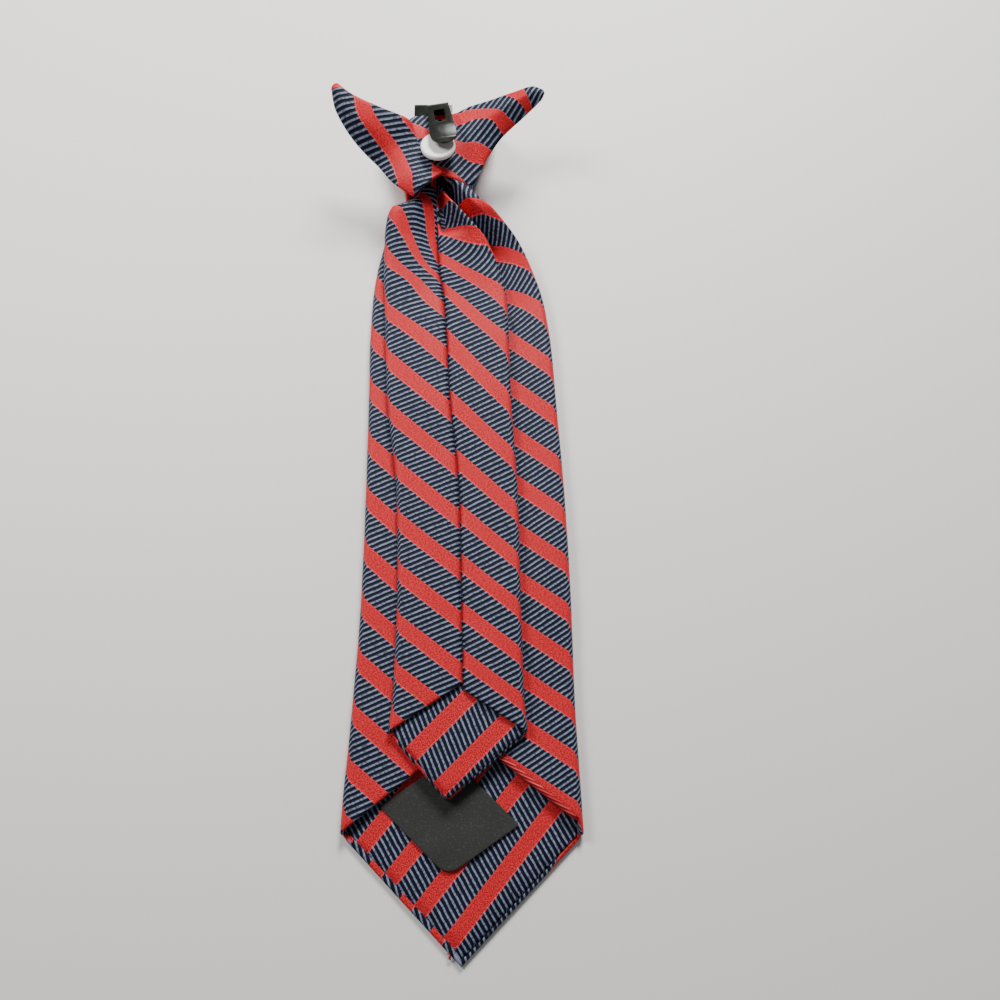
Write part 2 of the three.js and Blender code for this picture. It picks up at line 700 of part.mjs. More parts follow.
function clipHook() {
  const strip = new THREE.ExtrudeGeometry(hookProfile(), { depth: HOOK_END_WIDTH, bevelEnabled: false });
  strip.applyMatrix4(acrossFrom(-HOOK_END_WIDTH / 2));
  const above = prism(hookOutline(), PLATE_BASE + BEND_HEIGHT / 2, HOOK_UNDERSIDE + HOOK_LENGTH);
  const below = prism(hookFoot(), PLATE_BASE - STEEL, PLATE_BASE + BEND_HEIGHT / 2);
  const hook = solidFrom(strip).intersect(above.add(below)).rotate([0, 0, HOOK_TURN]);
  const [left, right] = [PLATE_SHIFT - PLATE_WIDTH / 2, PLATE_SHIFT + PLATE_WIDTH / 2];
  const top = HOOK_INSET + PLATE_PROUD;
  const outline = shapeOf([[left, top - PLATE_DEPTH], [right, top - PLATE_DEPTH], [right, top], [left, top]]);
  const plate = prism(outline, PLATE_BASE, PLATE_BASE + STEEL);
  return hook.add(plate).translate([KNOT_X + HOOK_SHIFT, KNOT_END - HOOK_INSET, 0]);
}

// The hook's full width at the plate and round the lower half of the bend.
function hookFoot() {
  const half = HOOK_WIDTH / 2;
  return shapeOf([[-half, -HOOK_LENGTH], [half, -HOOK_LENGTH], [half, HOOK_LENGTH], [-half, HOOK_LENGTH]]);
}

const striped = { color: 0x2c3550, roughness: 0.6, metalness: 0 };
const red = { color: 0xb5303a, roughness: 0.5, metalness: 0 };
const black = { color: 0x17171a, roughness: 0.85, metalness: 0 };
const steel = { color: 0x26262a, roughness: 0.35, metalness: 0.9 };
const white = { color: 0xeeeae2, roughness: 0.35, metalness: 0 };

function mesh(name, solid, look) {
  const { vertProperties, triVerts } = solid.getMesh();
  const geometry = new THREE.BufferGeometry();
  geometry.setAttribute("position", new THREE.BufferAttribute(new Float32Array(vertProperties), 3));
  geometry.setIndex(new THREE.BufferAttribute(new Uint32Array(triVerts), 1));
  geometry.computeVertexNormals();
  const part = new THREE.Mesh(geometry, new THREE.MeshStandardMaterial(look));
  part.name = name;
  return part;
}

const tie = new THREE.Group();
tie.add(
  mesh("blade_shell", bladeShell(), striped),
  mesh("blade_tipping", bladeTipping(), striped),
  mesh("tail_shell", tailShell(), striped),
  mesh("tail_tipping", tailTipping(), striped),
  mesh("care_label", careLabel(), black),
  mesh("knot_wrap", knotWrap(), red),
  mesh("wing_right", wing(RIGHT_WING, RIGHT_ROOT), striped),
  mesh("wing_left", wing(LEFT_WING, LEFT_ROOT), striped),
  mesh("clip_hook", clipHook(), steel),
  mesh("clip_pad", clipPad(), white),
);

// The origin is the middle of the tie's box on the table.
const box = new THREE.Box3().setFromObject(tie);
const middle = box.getCenter(new THREE.Vector3());
tie.position.set(-middle.x, -middle.y, -box.min.z);

export default tie;
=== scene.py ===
"""The fine model of a striped clip-on necktie that lies on its front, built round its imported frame."""
import logging
import math
from collections.abc import Callable, Sequence
from dataclasses import dataclass, field
from enum import Enum
from typing import NamedTuple

import bmesh
import bpy
from mathutils import Matrix, Vector, noise


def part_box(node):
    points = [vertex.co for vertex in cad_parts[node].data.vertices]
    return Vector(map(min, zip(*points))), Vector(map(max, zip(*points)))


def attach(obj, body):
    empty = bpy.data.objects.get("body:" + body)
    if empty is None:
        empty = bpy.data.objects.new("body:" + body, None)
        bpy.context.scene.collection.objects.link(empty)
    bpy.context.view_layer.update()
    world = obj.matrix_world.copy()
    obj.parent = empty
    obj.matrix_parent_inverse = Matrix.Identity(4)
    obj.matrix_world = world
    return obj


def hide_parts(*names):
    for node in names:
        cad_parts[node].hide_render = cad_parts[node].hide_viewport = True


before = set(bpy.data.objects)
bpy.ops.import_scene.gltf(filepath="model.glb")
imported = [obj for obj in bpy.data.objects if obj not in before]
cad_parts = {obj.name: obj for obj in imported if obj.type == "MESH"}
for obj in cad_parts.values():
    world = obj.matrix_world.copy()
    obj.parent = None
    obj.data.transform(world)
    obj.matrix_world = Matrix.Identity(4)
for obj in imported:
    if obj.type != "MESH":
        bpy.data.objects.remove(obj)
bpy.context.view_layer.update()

LOG = logging.getLogger("necktie")
MM = 0.001
BODY = "root"
Colour = tuple[float, float, float, float]


class Spot(NamedTuple):
    """A point of the cloth in millimetres, with its count of stripes and its count of ribs."""

    x: float
    y: float
    z: float
    stripe: float = 0.0
    rib: float = 0.0


class Side(Enum):
    """The side of a band of cloth, as the sign of its X."""

    LEFT = -1
    RIGHT = 1


class Slot(Enum):
    """The material slots of the record."""

    CLOTH = "striped_cloth"
    LABEL = "label_cloth"
    STEEL = "clip_steel"
    PLASTIC = "pad_plastic"


def clamp(value: float, low: float = 0.0, high: float = 1.0) -> float:
    """Returns the value, held between low and high."""
    return min(max(value, low), high)


def mix(a: float, b: float, share: float) -> float:
    """Returns the value at a share of the way from a to b."""
    return a + (b - a) * share


def ease(value: float, low: float, high: float) -> float:
    """Returns 0 below low and 1 above high, with a smooth turn between them.

    Args:
        value: Where to read the curve.
        low: Where the curve starts to rise.
        high: Where it is full.

    Returns:
        A share from 0 to 1.
    """
    share = clamp((value - low) / (high - low))
    return share * share * (3 - 2 * share)


@dataclass(frozen=True)
class Span:
    """A stretch of a line, by where a share starts to rise, is full, starts to fall and is gone."""

    start: float
    full: float
    fading: float
    end: float

    def share(self, at: float, strength: float = 1.0) -> float:
        """Returns the share at a place, times a strength."""
        return strength * ease(at, self.start, self.full) * (1 - ease(at, self.fading, self.end))


@dataclass(frozen=True)
class Wave:
    """A soft, uneven wave of the cloth, with its height, its pace across and along the tie and its seed."""

    height: float
    across: float
    along: float
    seed: float

    def rise(self, x: float, y: float, strength: float = 1.0) -> float:
        """Returns the wave's rise at a place, times a strength."""
        return self.height * strength * noise.noise(Vector((x * self.across, y * self.along, self.seed)))


@dataclass
class Table:
    """A short table with named columns, read between its rows on a curve that doesn't swing past them."""

    columns: tuple[str, ...]
    rows: tuple[tuple[float, ...], ...]

    def read(self, at: float) -> dict[str, float]:
        """Reads all columns where the first one has a value.

        Args:
            at: The value of the first column.

        Returns:
            The value of each column by name.
        """
        rows = self.rows
        last = len(rows) - 1
        i = 0
        while i < last - 1 and at > rows[i + 1][0]:
            i += 1
        step = rows[i + 1][0] - rows[i][0]
        t = clamp((at - rows[i][0]) / step)
        t2, t3 = t * t, t * t * t
        row = {}
        for column, name in enumerate(self.columns):
            row[name] = (
                (2 * t3 - 3 * t2 + 1) * rows[i][column]
                + (t3 - 2 * t2 + t) * self.slope(i, column) * step
                + (3 * t2 - 2 * t3) * rows[i + 1][column]
                + (t3 - t2) * self.slope(i + 1, column) * step
            )
        return row

    def slope(self, i: int, column: int) -> float:
        """Finds the slope of a column at a row, flat where the column turns back.

        Args:
            i: The row.
            column: The column.

        Returns:
            The slope.
        """
        before = self.rise(max(i - 1, 0), column)
        after = self.rise(min(i, len(self.rows) - 2), column)
        return 0.0 if before * after <= 0 else 2 * before * after / (before + after)

    def rise(self, i: int, column: int) -> float:
        """Returns the slope of a column from a row to the next one."""
        rows = self.rows
        return (rows[i + 1][column] - rows[i][column]) / (rows[i + 1][0] - rows[i][0])


@dataclass(frozen=True)
class Weave:
    """How the striped cloth lies on a flat face: the slant of its stripes, their distance and their phase.

    Along and across are stripes for each millimetre of Y and X. Red fills the last part of each stripe.
    """

    phase: float
    along: float
    across: float
    bend: float = 0.0
    rib_angle: float = 22.0
    rib_pitch: float = 1.55

    def stripe(self, x: float, y: float) -> float:
        """Returns the count of stripes at a place."""
        return self.phase + self.along * y + self.bend * y * y + self.across * x

    def rib(self, x: float, y: float) -> float:
        """Returns the count of ribs at a place."""
        angle = math.radians(self.rib_angle)
        return (math.cos(angle) * y - math.sin(angle) * x) / self.rib_pitch


@dataclass(frozen=True)
class Gather:
    """The counts across a flap where it is drawn into the knot, which take over from its plain weave."""

    rows: Table
    start: float = 180
    full: float = 190
    reach: float = 1.3

    def counts(self, weave: Weave, x: float, y: float, share: float) -> tuple[float, float]:
        """Returns the counts of stripes and ribs at a place of the flap.

        Args:
            weave: The flap's plain weave.
            x: The place across the tie.
            y: The place along the tie.
            share: The place between the flap's left and right sides, from 0 to 1.

        Returns:
            The count of stripes and the count of ribs.
        """
        stripe, rib = weave.stripe(x, y), weave.rib(x, y)
        if y <= self.start:
            return stripe, rib
        row = self.rows.read(y)
        s = clamp(2 * share - 1, -self.reach, self.reach)
        left, middle, right = (s * s - s) / 2, 1 - s * s, (s * s + s) / 2
        drawn = left * row["stripe_left"] + middle * row["stripe_middle"] + right * row["stripe_right"]
        turned = left * row["rib_left"] + middle * row["rib_middle"] + right * row["rib_right"]
        blend = ease(y, self.start, self.full)
        return mix(stripe, drawn, blend), mix(rib, turned, blend)


GATHER_COLUMNS = (
    "y", "stripe_left", "stripe_middle", "stripe_right",
    "rib_left", "rib_middle", "rib_right",
)


@dataclass
class Place:
    """Turns millimetres of the tie's own drawing, with the tip at zero, into the frame's metres."""

    shift_x: float
    shift_y: float

    @classmethod
    def from_frame(cls) -> "Place":
        """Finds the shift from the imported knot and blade.

        Returns:
            The place of the drawing in the frame.
        """
        low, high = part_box("knot_wrap")
        tip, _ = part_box("blade_shell")
        return cls((low[0] + high[0]) / 2 / MM - Knot.middle, tip[1] / MM)

    def point(self, x: float, y: float, z: float) -> Vector:
        """Returns a place in the frame's metres."""
        return Vector(((x + self.shift_x) * MM, (y + self.shift_y) * MM, z * MM))


def add_object(name: str, data: bpy.types.ID) -> bpy.types.Object:
    """Makes an object at the origin and puts it in the scene.

    Args:
        name: The object's name.
        data: Its mesh, its camera or its light.

    Returns:
        The object.
    """
    added = bpy.data.objects.new(name, data)
    bpy.context.scene.collection.objects.link(added)
    return added


def write_mesh(work: bmesh.types.BMesh, mesh: bpy.types.Mesh, material: bpy.types.Material) -> None:
    """Smooths the faces of an edited mesh, writes them back and gives the mesh its material.

    Args:
        work: The edited mesh, which is freed.
        mesh: The mesh to write to.
        material: Its only material.
    """
    for face in work.faces:
        face.smooth = True
    work.to_mesh(mesh)
    work.free()
    mesh.materials.clear()
    mesh.materials.append(material)


@dataclass
class ClothMesh:
    """Collects grids of cloth and makes one object of them, with the weave in its UV map."""

    name: str
    spots: list[Spot] = field(default_factory=list)
    faces: list[tuple[int, ...]] = field(default_factory=list)
    merge: float = 0.01
    sliver: float = 0.001

    def grid(self, rows: Sequence[Sequence[Spot]]) -> None:
        """Adds a grid of quads. The rows go along the cloth, and each has its spots across it.

        Args:
            rows: Rows of as many spots each.
        """
        start = len(self.spots)
        count = len(rows[0])
        for row in rows:
            self.spots.extend(row)
        for j in range(len(rows) - 1):
            for i in range(count - 1):
                a = start + j * count + i
                self.faces.append((a, a + 1, a + count + 1, a + count))

    def fan(self, rim: Sequence[Spot], middle: Spot) -> None:
        """Closes an end with triangles.

        Args:
            rim: The spots round the end, the last on the first.
            middle: The spot that they all meet at.
        """
        start = len(self.spots)
        self.spots.extend([*rim, middle])
        hub = len(self.spots) - 1
        for i in range(len(rim) - 1):
            self.faces.append((start + i, start + i + 1, hub))

    def make(self, place: Place, material: bpy.types.Material) -> bpy.types.Object:
        """Makes the object, with its doubles merged, its faces outwards and smooth.

        Args:
            place: The place of the drawing in the frame.
            material: The cloth's material.

        Returns:
            The object, at the origin, with its place in its mesh.
        """
        mesh = bpy.data.meshes.new(self.name)
        mesh.from_pydata([place.point(s.x, s.y, s.z) for s in self.spots], [], self.faces)
        layer = mesh.uv_layers.new(name="weave")
        for loop in mesh.loops:
            spot = self.spots[loop.vertex_index]
            layer.data[loop.index].uv = (spot.stripe, spot.rib)
        work = bmesh.new()
        work.from_mesh(mesh)
        bmesh.ops.remove_doubles(work, verts=work.verts, dist=self.merge * MM)
        bmesh.ops.dissolve_degenerate(work, edges=work.edges, dist=self.sliver * MM)
        bmesh.ops.recalc_face_normals(work, faces=work.faces)
        write_mesh(work, mesh, material)
        return add_object(self.name, mesh)


def spot_rows(spot: Callable[[float, float], Spot], columns: int, rows: int) -> list[list[Spot]]:
    """Reads a grid of spots from a rule.

    Args:
        spot: The rule, which takes the shares across and along.
        columns: How many columns of faces the grid has.
        rows: How many rows of faces it has.

    Returns:
        The rows of spots.
    """
    return [[spot(i / columns, j / rows) for i in range(columns + 1)] for j in range(rows + 1)]


def face_up(piece: bpy.types.Object) -> None:
    """Turns a flat piece so that its first face, and all others with it, look up."""
    if piece.data.polygons[0].normal.z < 0:
        piece.data.flip_normals()


def thicken(piece: bpy.types.Object, thickness: float) -> None:
    """Gives a cloth surface its thickness, inwards from its outer face.

    Args:
        piece: The cloth's surface, with its faces outwards.
        thickness: The cloth's thickness in millimetres.
    """
    solidify = piece.modifiers.new("thickness", "SOLIDIFY")
    solidify.thickness = thickness * MM
    solidify.offset = -1
    solidify.use_quality_normals = True


def bevel(piece: bpy.types.Object, width: float, segments: int = 2, sharp: float = 50) -> None:
    """Rounds the sharp edges of a piece.

    Args:
        piece: The piece.
        width: The width of the rounding in millimetres.
        segments: How many faces it has across.
        sharp: The angle, in degrees, from which an edge is sharp.
    """
    rounding = piece.modifiers.new("rounding", "BEVEL")
    rounding.width = width * MM
    rounding.segments = segments
    rounding.limit_method = "ANGLE"
    rounding.angle_limit = math.radians(sharp)
    rounding.harden_normals = False


class Graph:
    """Builds a node tree from short calls, where an input is a number, a colour or another socket."""

    def __init__(self, tree: bpy.types.NodeTree) -> None:
        """Takes the tree to build in."""
        self.tree = tree

    def node(self, kind: str, inputs: dict | None = None, **settings: object) -> bpy.types.Node:
        """Adds a node.

        Args:
            kind: The node's type name.
            inputs: Values or sockets by input name or number.
            **settings: The node's own properties.

        Returns:
            The new node.
        """
        node = self.tree.nodes.new(kind)
        for name, value in settings.items():
            setattr(node, name, value)
        self.fill(node, inputs or {})
        return node

    def fill(self, node: bpy.types.Node, inputs: dict) -> None:
        """Sets the inputs of a node, or links them where the value is a socket.

        Args:
            node: The node.
            inputs: Values or sockets by input name or number.
        """
        for name, value in inputs.items():
            if isinstance(value, bpy.types.NodeSocket):
                self.tree.links.new(value, node.inputs[name])
            else:
                node.inputs[name].default_value = value

    def math(self, operation: str, *values: object, clamp: bool = False) -> bpy.types.NodeSocket:
        """Adds a Math node and returns its output."""
        node = self.node("ShaderNodeMath", dict(enumerate(values)), operation=operation, use_clamp=clamp)
        return node.outputs[0]

    def plus(self, first: object, second: object) -> bpy.types.NodeSocket:
        """Returns the sum of two values."""
        return self.math("ADD", first, second)

    def minus(self, first: object, second: object) -> bpy.types.NodeSocket:
        """Returns the first value less the second."""
        return self.math("SUBTRACT", first, second)

    def times(self, first: object, second: object) -> bpy.types.NodeSocket:
        """Returns the product of two values."""
        return self.math("MULTIPLY", first, second)

    def between(self, share: object, first: object, second: object) -> bpy.types.NodeSocket:
        """Mixes two values by a share and returns the value."""
        return self.node("ShaderNodeMix", {0: share, 2: first, 3: second}, data_type="FLOAT").outputs[0]

    def blend(self, share: object, first: object, second: object) -> bpy.types.NodeSocket:
        """Mixes two colours by a share and returns the colour."""
        return self.node("ShaderNodeMix", {0: share, 6: first, 7: second}, data_type="RGBA").outputs[2]

    def ramp(
        self, value: object, low: float, high: float, start: float = 0.0, end: float = 1.0
    ) -> bpy.types.NodeSocket:
        """Maps a value smoothly from one range onto another.

        Args:
            value: The value.
            low: The value that gives start.
            high: The value that gives end.
            start: The result at low.
            end: The result at high.

        Returns:
            The mapped value.
        """
        node = self.node(
            "ShaderNodeMapRange",
            {"Value": value, "From Min": low, "From Max": high, "To Min": start, "To Max": end},
            interpolation_type="SMOOTHSTEP",
        )
        return node.outputs["Result"]

    def noise(self, vector: object, scale: object, detail: float = 2.0) -> bpy.types.NodeSocket:
        """Adds a Noise Texture and returns its value."""
        inputs = {"Vector": vector, "Scale": scale, "Detail": detail}
        return self.node("ShaderNodeTexNoise", inputs).outputs[0]

    def combine(self, x: object, y: object) -> bpy.types.NodeSocket:
        """Returns a vector of two values."""
        return self.node("ShaderNodeCombineXYZ", {0: x, 1: y}).outputs[0]


def new_group(
    name: str, inputs: dict[str, float | Colour], outputs: dict[str, str]
) -> bpy.types.ShaderNodeTree:
    """Makes an empty shader node group with named inputs and outputs.

    Args:
        name: The group's name.
        inputs: The default of each input: a number, or four numbers for a colour.
        outputs: The socket type of each output.

    Returns:
        The group's tree.
    """
    tree = bpy.data.node_groups.new(name, "ShaderNodeTree")
    for label, default in inputs.items():
        kind = "NodeSocketColor" if isinstance(default, tuple) else "NodeSocketFloat"
        socket = tree.interface.new_socket(label, in_out="INPUT", socket_type=kind)
        socket.default_value = default
    for label, kind in outputs.items():
        tree.interface.new_socket(label, in_out="OUTPUT", socket_type=kind)
    return tree


Grain = tuple[float, float]
Sockets = bpy.types.bpy_prop_collection


@dataclass(frozen=True)
class WeavePattern:
    """The fine pattern of the striped cloth, drawn from its counts of stripes and ribs.

    A grain is how often something changes over one stripe and over one rib.
    """

    red_share: float = 0.395
    wander: float = 0.22
    wander_grain: Grain = (6.0, 0.5)
    ragged: float = 0.04
    fray: float = 0.05
    fray_grain: Grain = (10.0, 2.0)
    fray_scale: float = 1.4
    blur: float = 0.008
    end_blur: float = 0.01
    selvedge_width: float = 0.035
    selvedge_light: float = 0.75
    ridge: tuple[float, float] = (-0.75, 0.85)
    line: tuple[float, float] = (0.0, 0.95)
    yarn_grain: Grain = (26.0, 1.4)
    yarn_light: tuple[float, float, float, float] = (0.3, 0.66, 0.25, 1.25)
    fleck_grain: Grain = (36.0, 4.6)
    fleck_light: tuple[float, float, float, float] = (0.34, 0.66, 0.0, 0.85)
    thread_detail: float = 3.0
    twill_pace: float = 150.0
    satin_relief: tuple[float, float, float] = (0.8, 0.12, 0.45)
    rib_relief: tuple[float, float] = (0.85, 0.25)
    rib_roughness: float = 0.52
    satin_roughness: float = 0.42
    roughness_spread: float = 0.2

    def build(self) -> bpy.types.ShaderNodeTree:
        """Builds the group that colours and raises the striped cloth.

        Returns:
            A group that puts out the cloth's colour, its roughness and its height.
        """
        tree = new_group(
            "striped weave",
            {
                "Stripe": 0.0,
                "Rib": 0.0,
                "Red Share": self.red_share,
                "Rib Contrast": 1.0,
                "Navy": (0.02, 0.03, 0.06, 1),
                "Rib Light": (0.2, 0.27, 0.42, 1),
                "Red": (0.5, 0.04, 0.05, 1),
                "Red Light": (0.8, 0.2, 0.18, 1),
            },
            {"Color": "NodeSocketColor", "Roughness": "NodeSocketFloat", "Height": "NodeSocketFloat"},
        )
        graph = Graph(tree)
        given = graph.node("NodeGroupInput").outputs
        stripe, rib = given["Stripe"], given["Rib"]
        wander = graph.minus(self.grained(graph, given, self.wander_grain), 0.5)
        wavy = graph.plus(rib, graph.times(wander, self.wander))
        red, selvedge = self.stripe_masks(graph, given, wavy)
        wave = graph.math("COSINE", graph.times(wavy, math.tau))
        yarn = self.grained(graph, given, self.yarn_grain, detail=self.thread_detail)
        fleck = self.grained(graph, given, self.fleck_grain, detail=self.thread_detail)
        lit = graph.times(graph.ramp(wave, *self.line), graph.ramp(yarn, *self.yarn_light))
        navy = graph.blend(graph.times(lit, given["Rib Contrast"]), given["Navy"], given["Rib Light"])
        gleam = graph.times(selvedge, self.selvedge_light)
        satin = graph.math("ADD", graph.ramp(fleck, *self.fleck_light), gleam, clamp=True)
        scarlet = graph.blend(satin, given["Red"], given["Red Light"])
        twill = graph.plus(graph.times(rib, math.tau * 2), graph.times(stripe, self.twill_pace))
        flecks, twills, satin_height = self.satin_relief
        low = graph.plus(graph.times(fleck, flecks), graph.times(graph.math("COSINE", twill), twills))
        ridges, yarns = self.rib_relief
        high = graph.plus(graph.times(graph.ramp(wave, *self.ridge), ridges), graph.times(yarn, yarns))
        rough = graph.between(red, self.rib_roughness, self.satin_roughness)
        spread = graph.times(graph.minus(fleck, 0.5), self.roughness_spread)
        outputs = {
            "Color": graph.blend(red, navy, scarlet),
            "Roughness": graph.plus(rough, spread),
            "Height": graph.between(red, high, graph.times(low, satin_height)),
        }
        graph.node("NodeGroupOutput", outputs)
        return tree

    def grained(
        self, graph: Graph, given: Sockets, grain: Grain, scale: float = 1.0, detail: float = 2.0
    ) -> bpy.types.NodeSocket:
        """Adds a noise that lies on the counts of stripes and ribs.

        Args:
            graph: The group's graph.
            given: The group's inputs.
            grain: How often the noise changes over one stripe and over one rib.
            scale: A scale of both.
            detail: The noise's detail.

        Returns:
            The noise's value.
        """
        across, along = grain
        counts = graph.combine(graph.times(given["Stripe"], across), graph.times(given["Rib"], along))
        return graph.noise(counts, scale, detail)

    def stripe_masks(
        self, graph: Graph, given: Sockets, wavy: bpy.types.NodeSocket
    ) -> tuple[bpy.types.NodeSocket, bpy.types.NodeSocket]:
        """Finds where the cloth is red and where a red stripe has its pale edges.

        Args:
            graph: The group's graph.
            given: The group's inputs.
            wavy: The count of ribs, with its wander.

        Returns:
            The mask of the red and the mask of its edges.
        """
        red_share = given["Red Share"]
        step = graph.math("PINGPONG", wavy, 0.5)
        ragged = graph.times(graph.minus(step, 0.25), self.ragged)
        frayed = graph.minus(self.grained(graph, given, self.fray_grain, self.fray_scale), 0.5)
        shifted = graph.plus(graph.plus(given["Stripe"], ragged), graph.times(frayed, self.fray))
        edge = graph.math("FRACT", shifted)
        inside = graph.minus(edge, graph.minus(1.0, red_share))
        rise = graph.ramp(inside, -self.blur, self.blur)
        fall = graph.ramp(edge, 1.0 - self.end_blur, 1.0, 1.0, 0.0)
        red = graph.times(rise, fall)
        half = graph.times(red_share, 0.5)
        to_edge = graph.minus(half, graph.math("ABSOLUTE", graph.minus(inside, half)))
        return red, graph.times(graph.ramp(to_edge, 0.0, self.selvedge_width, 1.0, 0.0), red)


def grain_group(contrast: float = 5.0) -> bpy.types.ShaderNodeTree:
    """Builds the group of fine grain and soft wear that the label, the pad, the steel and the thread share.

    Args:
        contrast: How sharply the wear sets in.

    Returns:
        A group that puts out a grain and a wear, both from 0 to 1.
    """
    tree = new_group(
        "grain and wear",
        {"Grain Scale": 900.0, "Wear Scale": 120.0, "Wear Start": 0.5},
        {"Grain": "NodeSocketFloat", "Wear": "NodeSocketFloat"},
    )
    graph = Graph(tree)
    given = graph.node("NodeGroupInput").outputs
    place = graph.node("ShaderNodeTexCoord").outputs["Object"]
    grain = graph.noise(place, given["Grain Scale"], 3.0)
    cloud = graph.noise(place, given["Wear Scale"], 4.0)
    wear = graph.math("MULTIPLY", graph.minus(cloud, given["Wear Start"]), contrast, clamp=True)
    graph.node("NodeGroupOutput", {"Grain": grain, "Wear": wear})
    return tree


def new_material(name: str) -> tuple[bpy.types.Material, Graph, bpy.types.Node]:
    """Makes a material with a Principled BSDF.

    Args:
        name: The material's name.

    Returns:
        The material, the graph of its tree and its shader.
    """
    material = bpy.data.materials.new(name)
    material.use_nodes = True
    return material, Graph(material.node_tree), material.node_tree.nodes["Principled BSDF"]


@dataclass(frozen=True)
class StripedCloth:
    """The finish of the striped cloth, navy with light ribs and red satin with pale edges."""

    name: str = "striped cloth"
    navy: Colour = (0.004, 0.006, 0.014, 1)
    rib_light: Colour = (0.190, 0.215, 0.310, 1)
    red: Colour = (0.255, 0.003, 0.006, 1)
    red_light: Colour = (0.720, 0.040, 0.046, 1)
    rib_contrast: float = 1.0
    relief: float = 0.22
    bump: float = 0.75
    specular: float = 0.12
    sheen: float = 0.02
    sheen_roughness: float = 0.4

    def make(self, group: bpy.types.ShaderNodeTree) -> bpy.types.Material:
        """Makes the material from the shared weave group.

        Args:
            group: The weave group.

        Returns:
            The material.
        """
        material, graph, shader = new_material(self.name)
        counts = graph.node("ShaderNodeUVMap", uv_map="weave").outputs[0]
        parts = graph.node("ShaderNodeSeparateXYZ", {0: counts}).outputs
        values = {
            "Stripe": parts[0],
            "Rib": parts[1],
            "Rib Contrast": self.rib_contrast,
            "Navy": self.navy,
            "Rib Light": self.rib_light,
            "Red": self.red,
            "Red Light": self.red_light,
        }
        weave = graph.node("ShaderNodeGroup", values, node_tree=group).outputs
        raised = {"Height": weave["Height"], "Strength": self.bump, "Distance": self.relief * MM}
        inputs = {
            "Base Color": weave["Color"],
            "Roughness": weave["Roughness"],
            "Normal": graph.node("ShaderNodeBump", raised).outputs[0],
            "Specular IOR Level": self.specular,
            "Sheen Weight": self.sheen,
            "Sheen Roughness": self.sheen_roughness,
        }
        graph.fill(shader, inputs)
        return material


@dataclass(frozen=True)
class GrainedFinish:
    """A plain finish with fine grain, for the label's tape, the pad, the clip's steel and the thread."""

    name: str
    colour: Colour
    worn: Colour
    roughness: float
    metallic: float = 0.0
    coat: float = 0.0
    specular: float = 0.5
    grain_scale: float = 900.0
    wear_scale: float = 120.0
    wear_start: float = 0.55
    relief: float = 0.05
    bump: float = 0.5
    roughness_spread: float = 0.2
    coat_roughness: float = 0.12

    def make(self, group: bpy.types.ShaderNodeTree) -> bpy.types.Material:
        """Makes the material from the shared grain group.

        Args:
            group: The grain group.

        Returns:
            The material.
        """
        material, graph, shader = new_material(self.name)
        values = {
            "Grain Scale": self.grain_scale,
            "Wear Scale": self.wear_scale,
            "Wear Start": self.wear_start,
        }
        grain = graph.node("ShaderNodeGroup", values, node_tree=group).outputs
        spread = graph.times(graph.minus(grain["Grain"], 0.5), self.roughness_spread)
        raised = {"Height": grain["Grain"], "Strength": self.bump, "Distance": self.relief * MM}
        inputs = {
            "Base Color": graph.blend(grain["Wear"], self.colour, self.worn),
            "Roughness": graph.math("ADD", spread, self.roughness, clamp=True),
            "Normal": graph.node("ShaderNodeBump", raised).outputs[0],
            "Metallic": self.metallic,
            "Coat Weight": self.coat,
            "Specular IOR Level": self.specular,
            "Coat Roughness": self.coat_roughness,
        }
        graph.fill(shader, inputs)
        return material


@dataclass
class Finishes:
    """All finishes of the tie, each made once."""

    cloth: bpy.types.Material
    cord: bpy.types.Material
    label: bpy.types.Material
    steel: bpy.types.Material
    pad: bpy.types.Material
    thread: bpy.types.Material

    @classmethod
    def make(cls) -> "Finishes":
        """Makes the two groups and the materials.

        Returns:
            The finishes.
        """
        weave, grain = WeavePattern().build(), grain_group()
        ground, light = (0.24, 0.006, 0.010, 1), (0.66, 0.10, 0.10, 1)
        red_cord = StripedCloth("corded edge", navy=ground, rib_light=light)
        label = GrainedFinish(
            name="label tape",
            colour=(0.016, 0.016, 0.014, 1),
            worn=(0.040, 0.039, 0.034, 1),
            roughness=0.9,
            grain_scale=2200,
            wear_scale=1500,
            relief=0.2,
        )
        steel = GrainedFinish(
            name="japanned steel",
            colour=(0.006, 0.007, 0.005, 1),
            worn=(0.016, 0.018, 0.013, 1),
            roughness=0.3,
            specular=0.16,
            coat=0.03,
        )
        plastic = GrainedFinish(
            name="white plastic",
            colour=(0.80, 0.78, 0.73, 1),
            worn=(0.70, 0.68, 0.62, 1),
            roughness=0.38,
            wear_start=0.6,
            relief=0.03,
        )
        thread = GrainedFinish(
            name="sewing thread",
            colour=(0.02, 0.03, 0.07, 1),
            worn=(0.05, 0.07, 0.14, 1),
            roughness=0.6,
            grain_scale=3000,
        )
        return cls(
            cloth=StripedCloth().make(weave),
            cord=red_cord.make(weave),
            label=label.make(grain),
            steel=steel.make(grain),
            pad=plastic.make(grain),
            thread=thread.make(grain),
        )


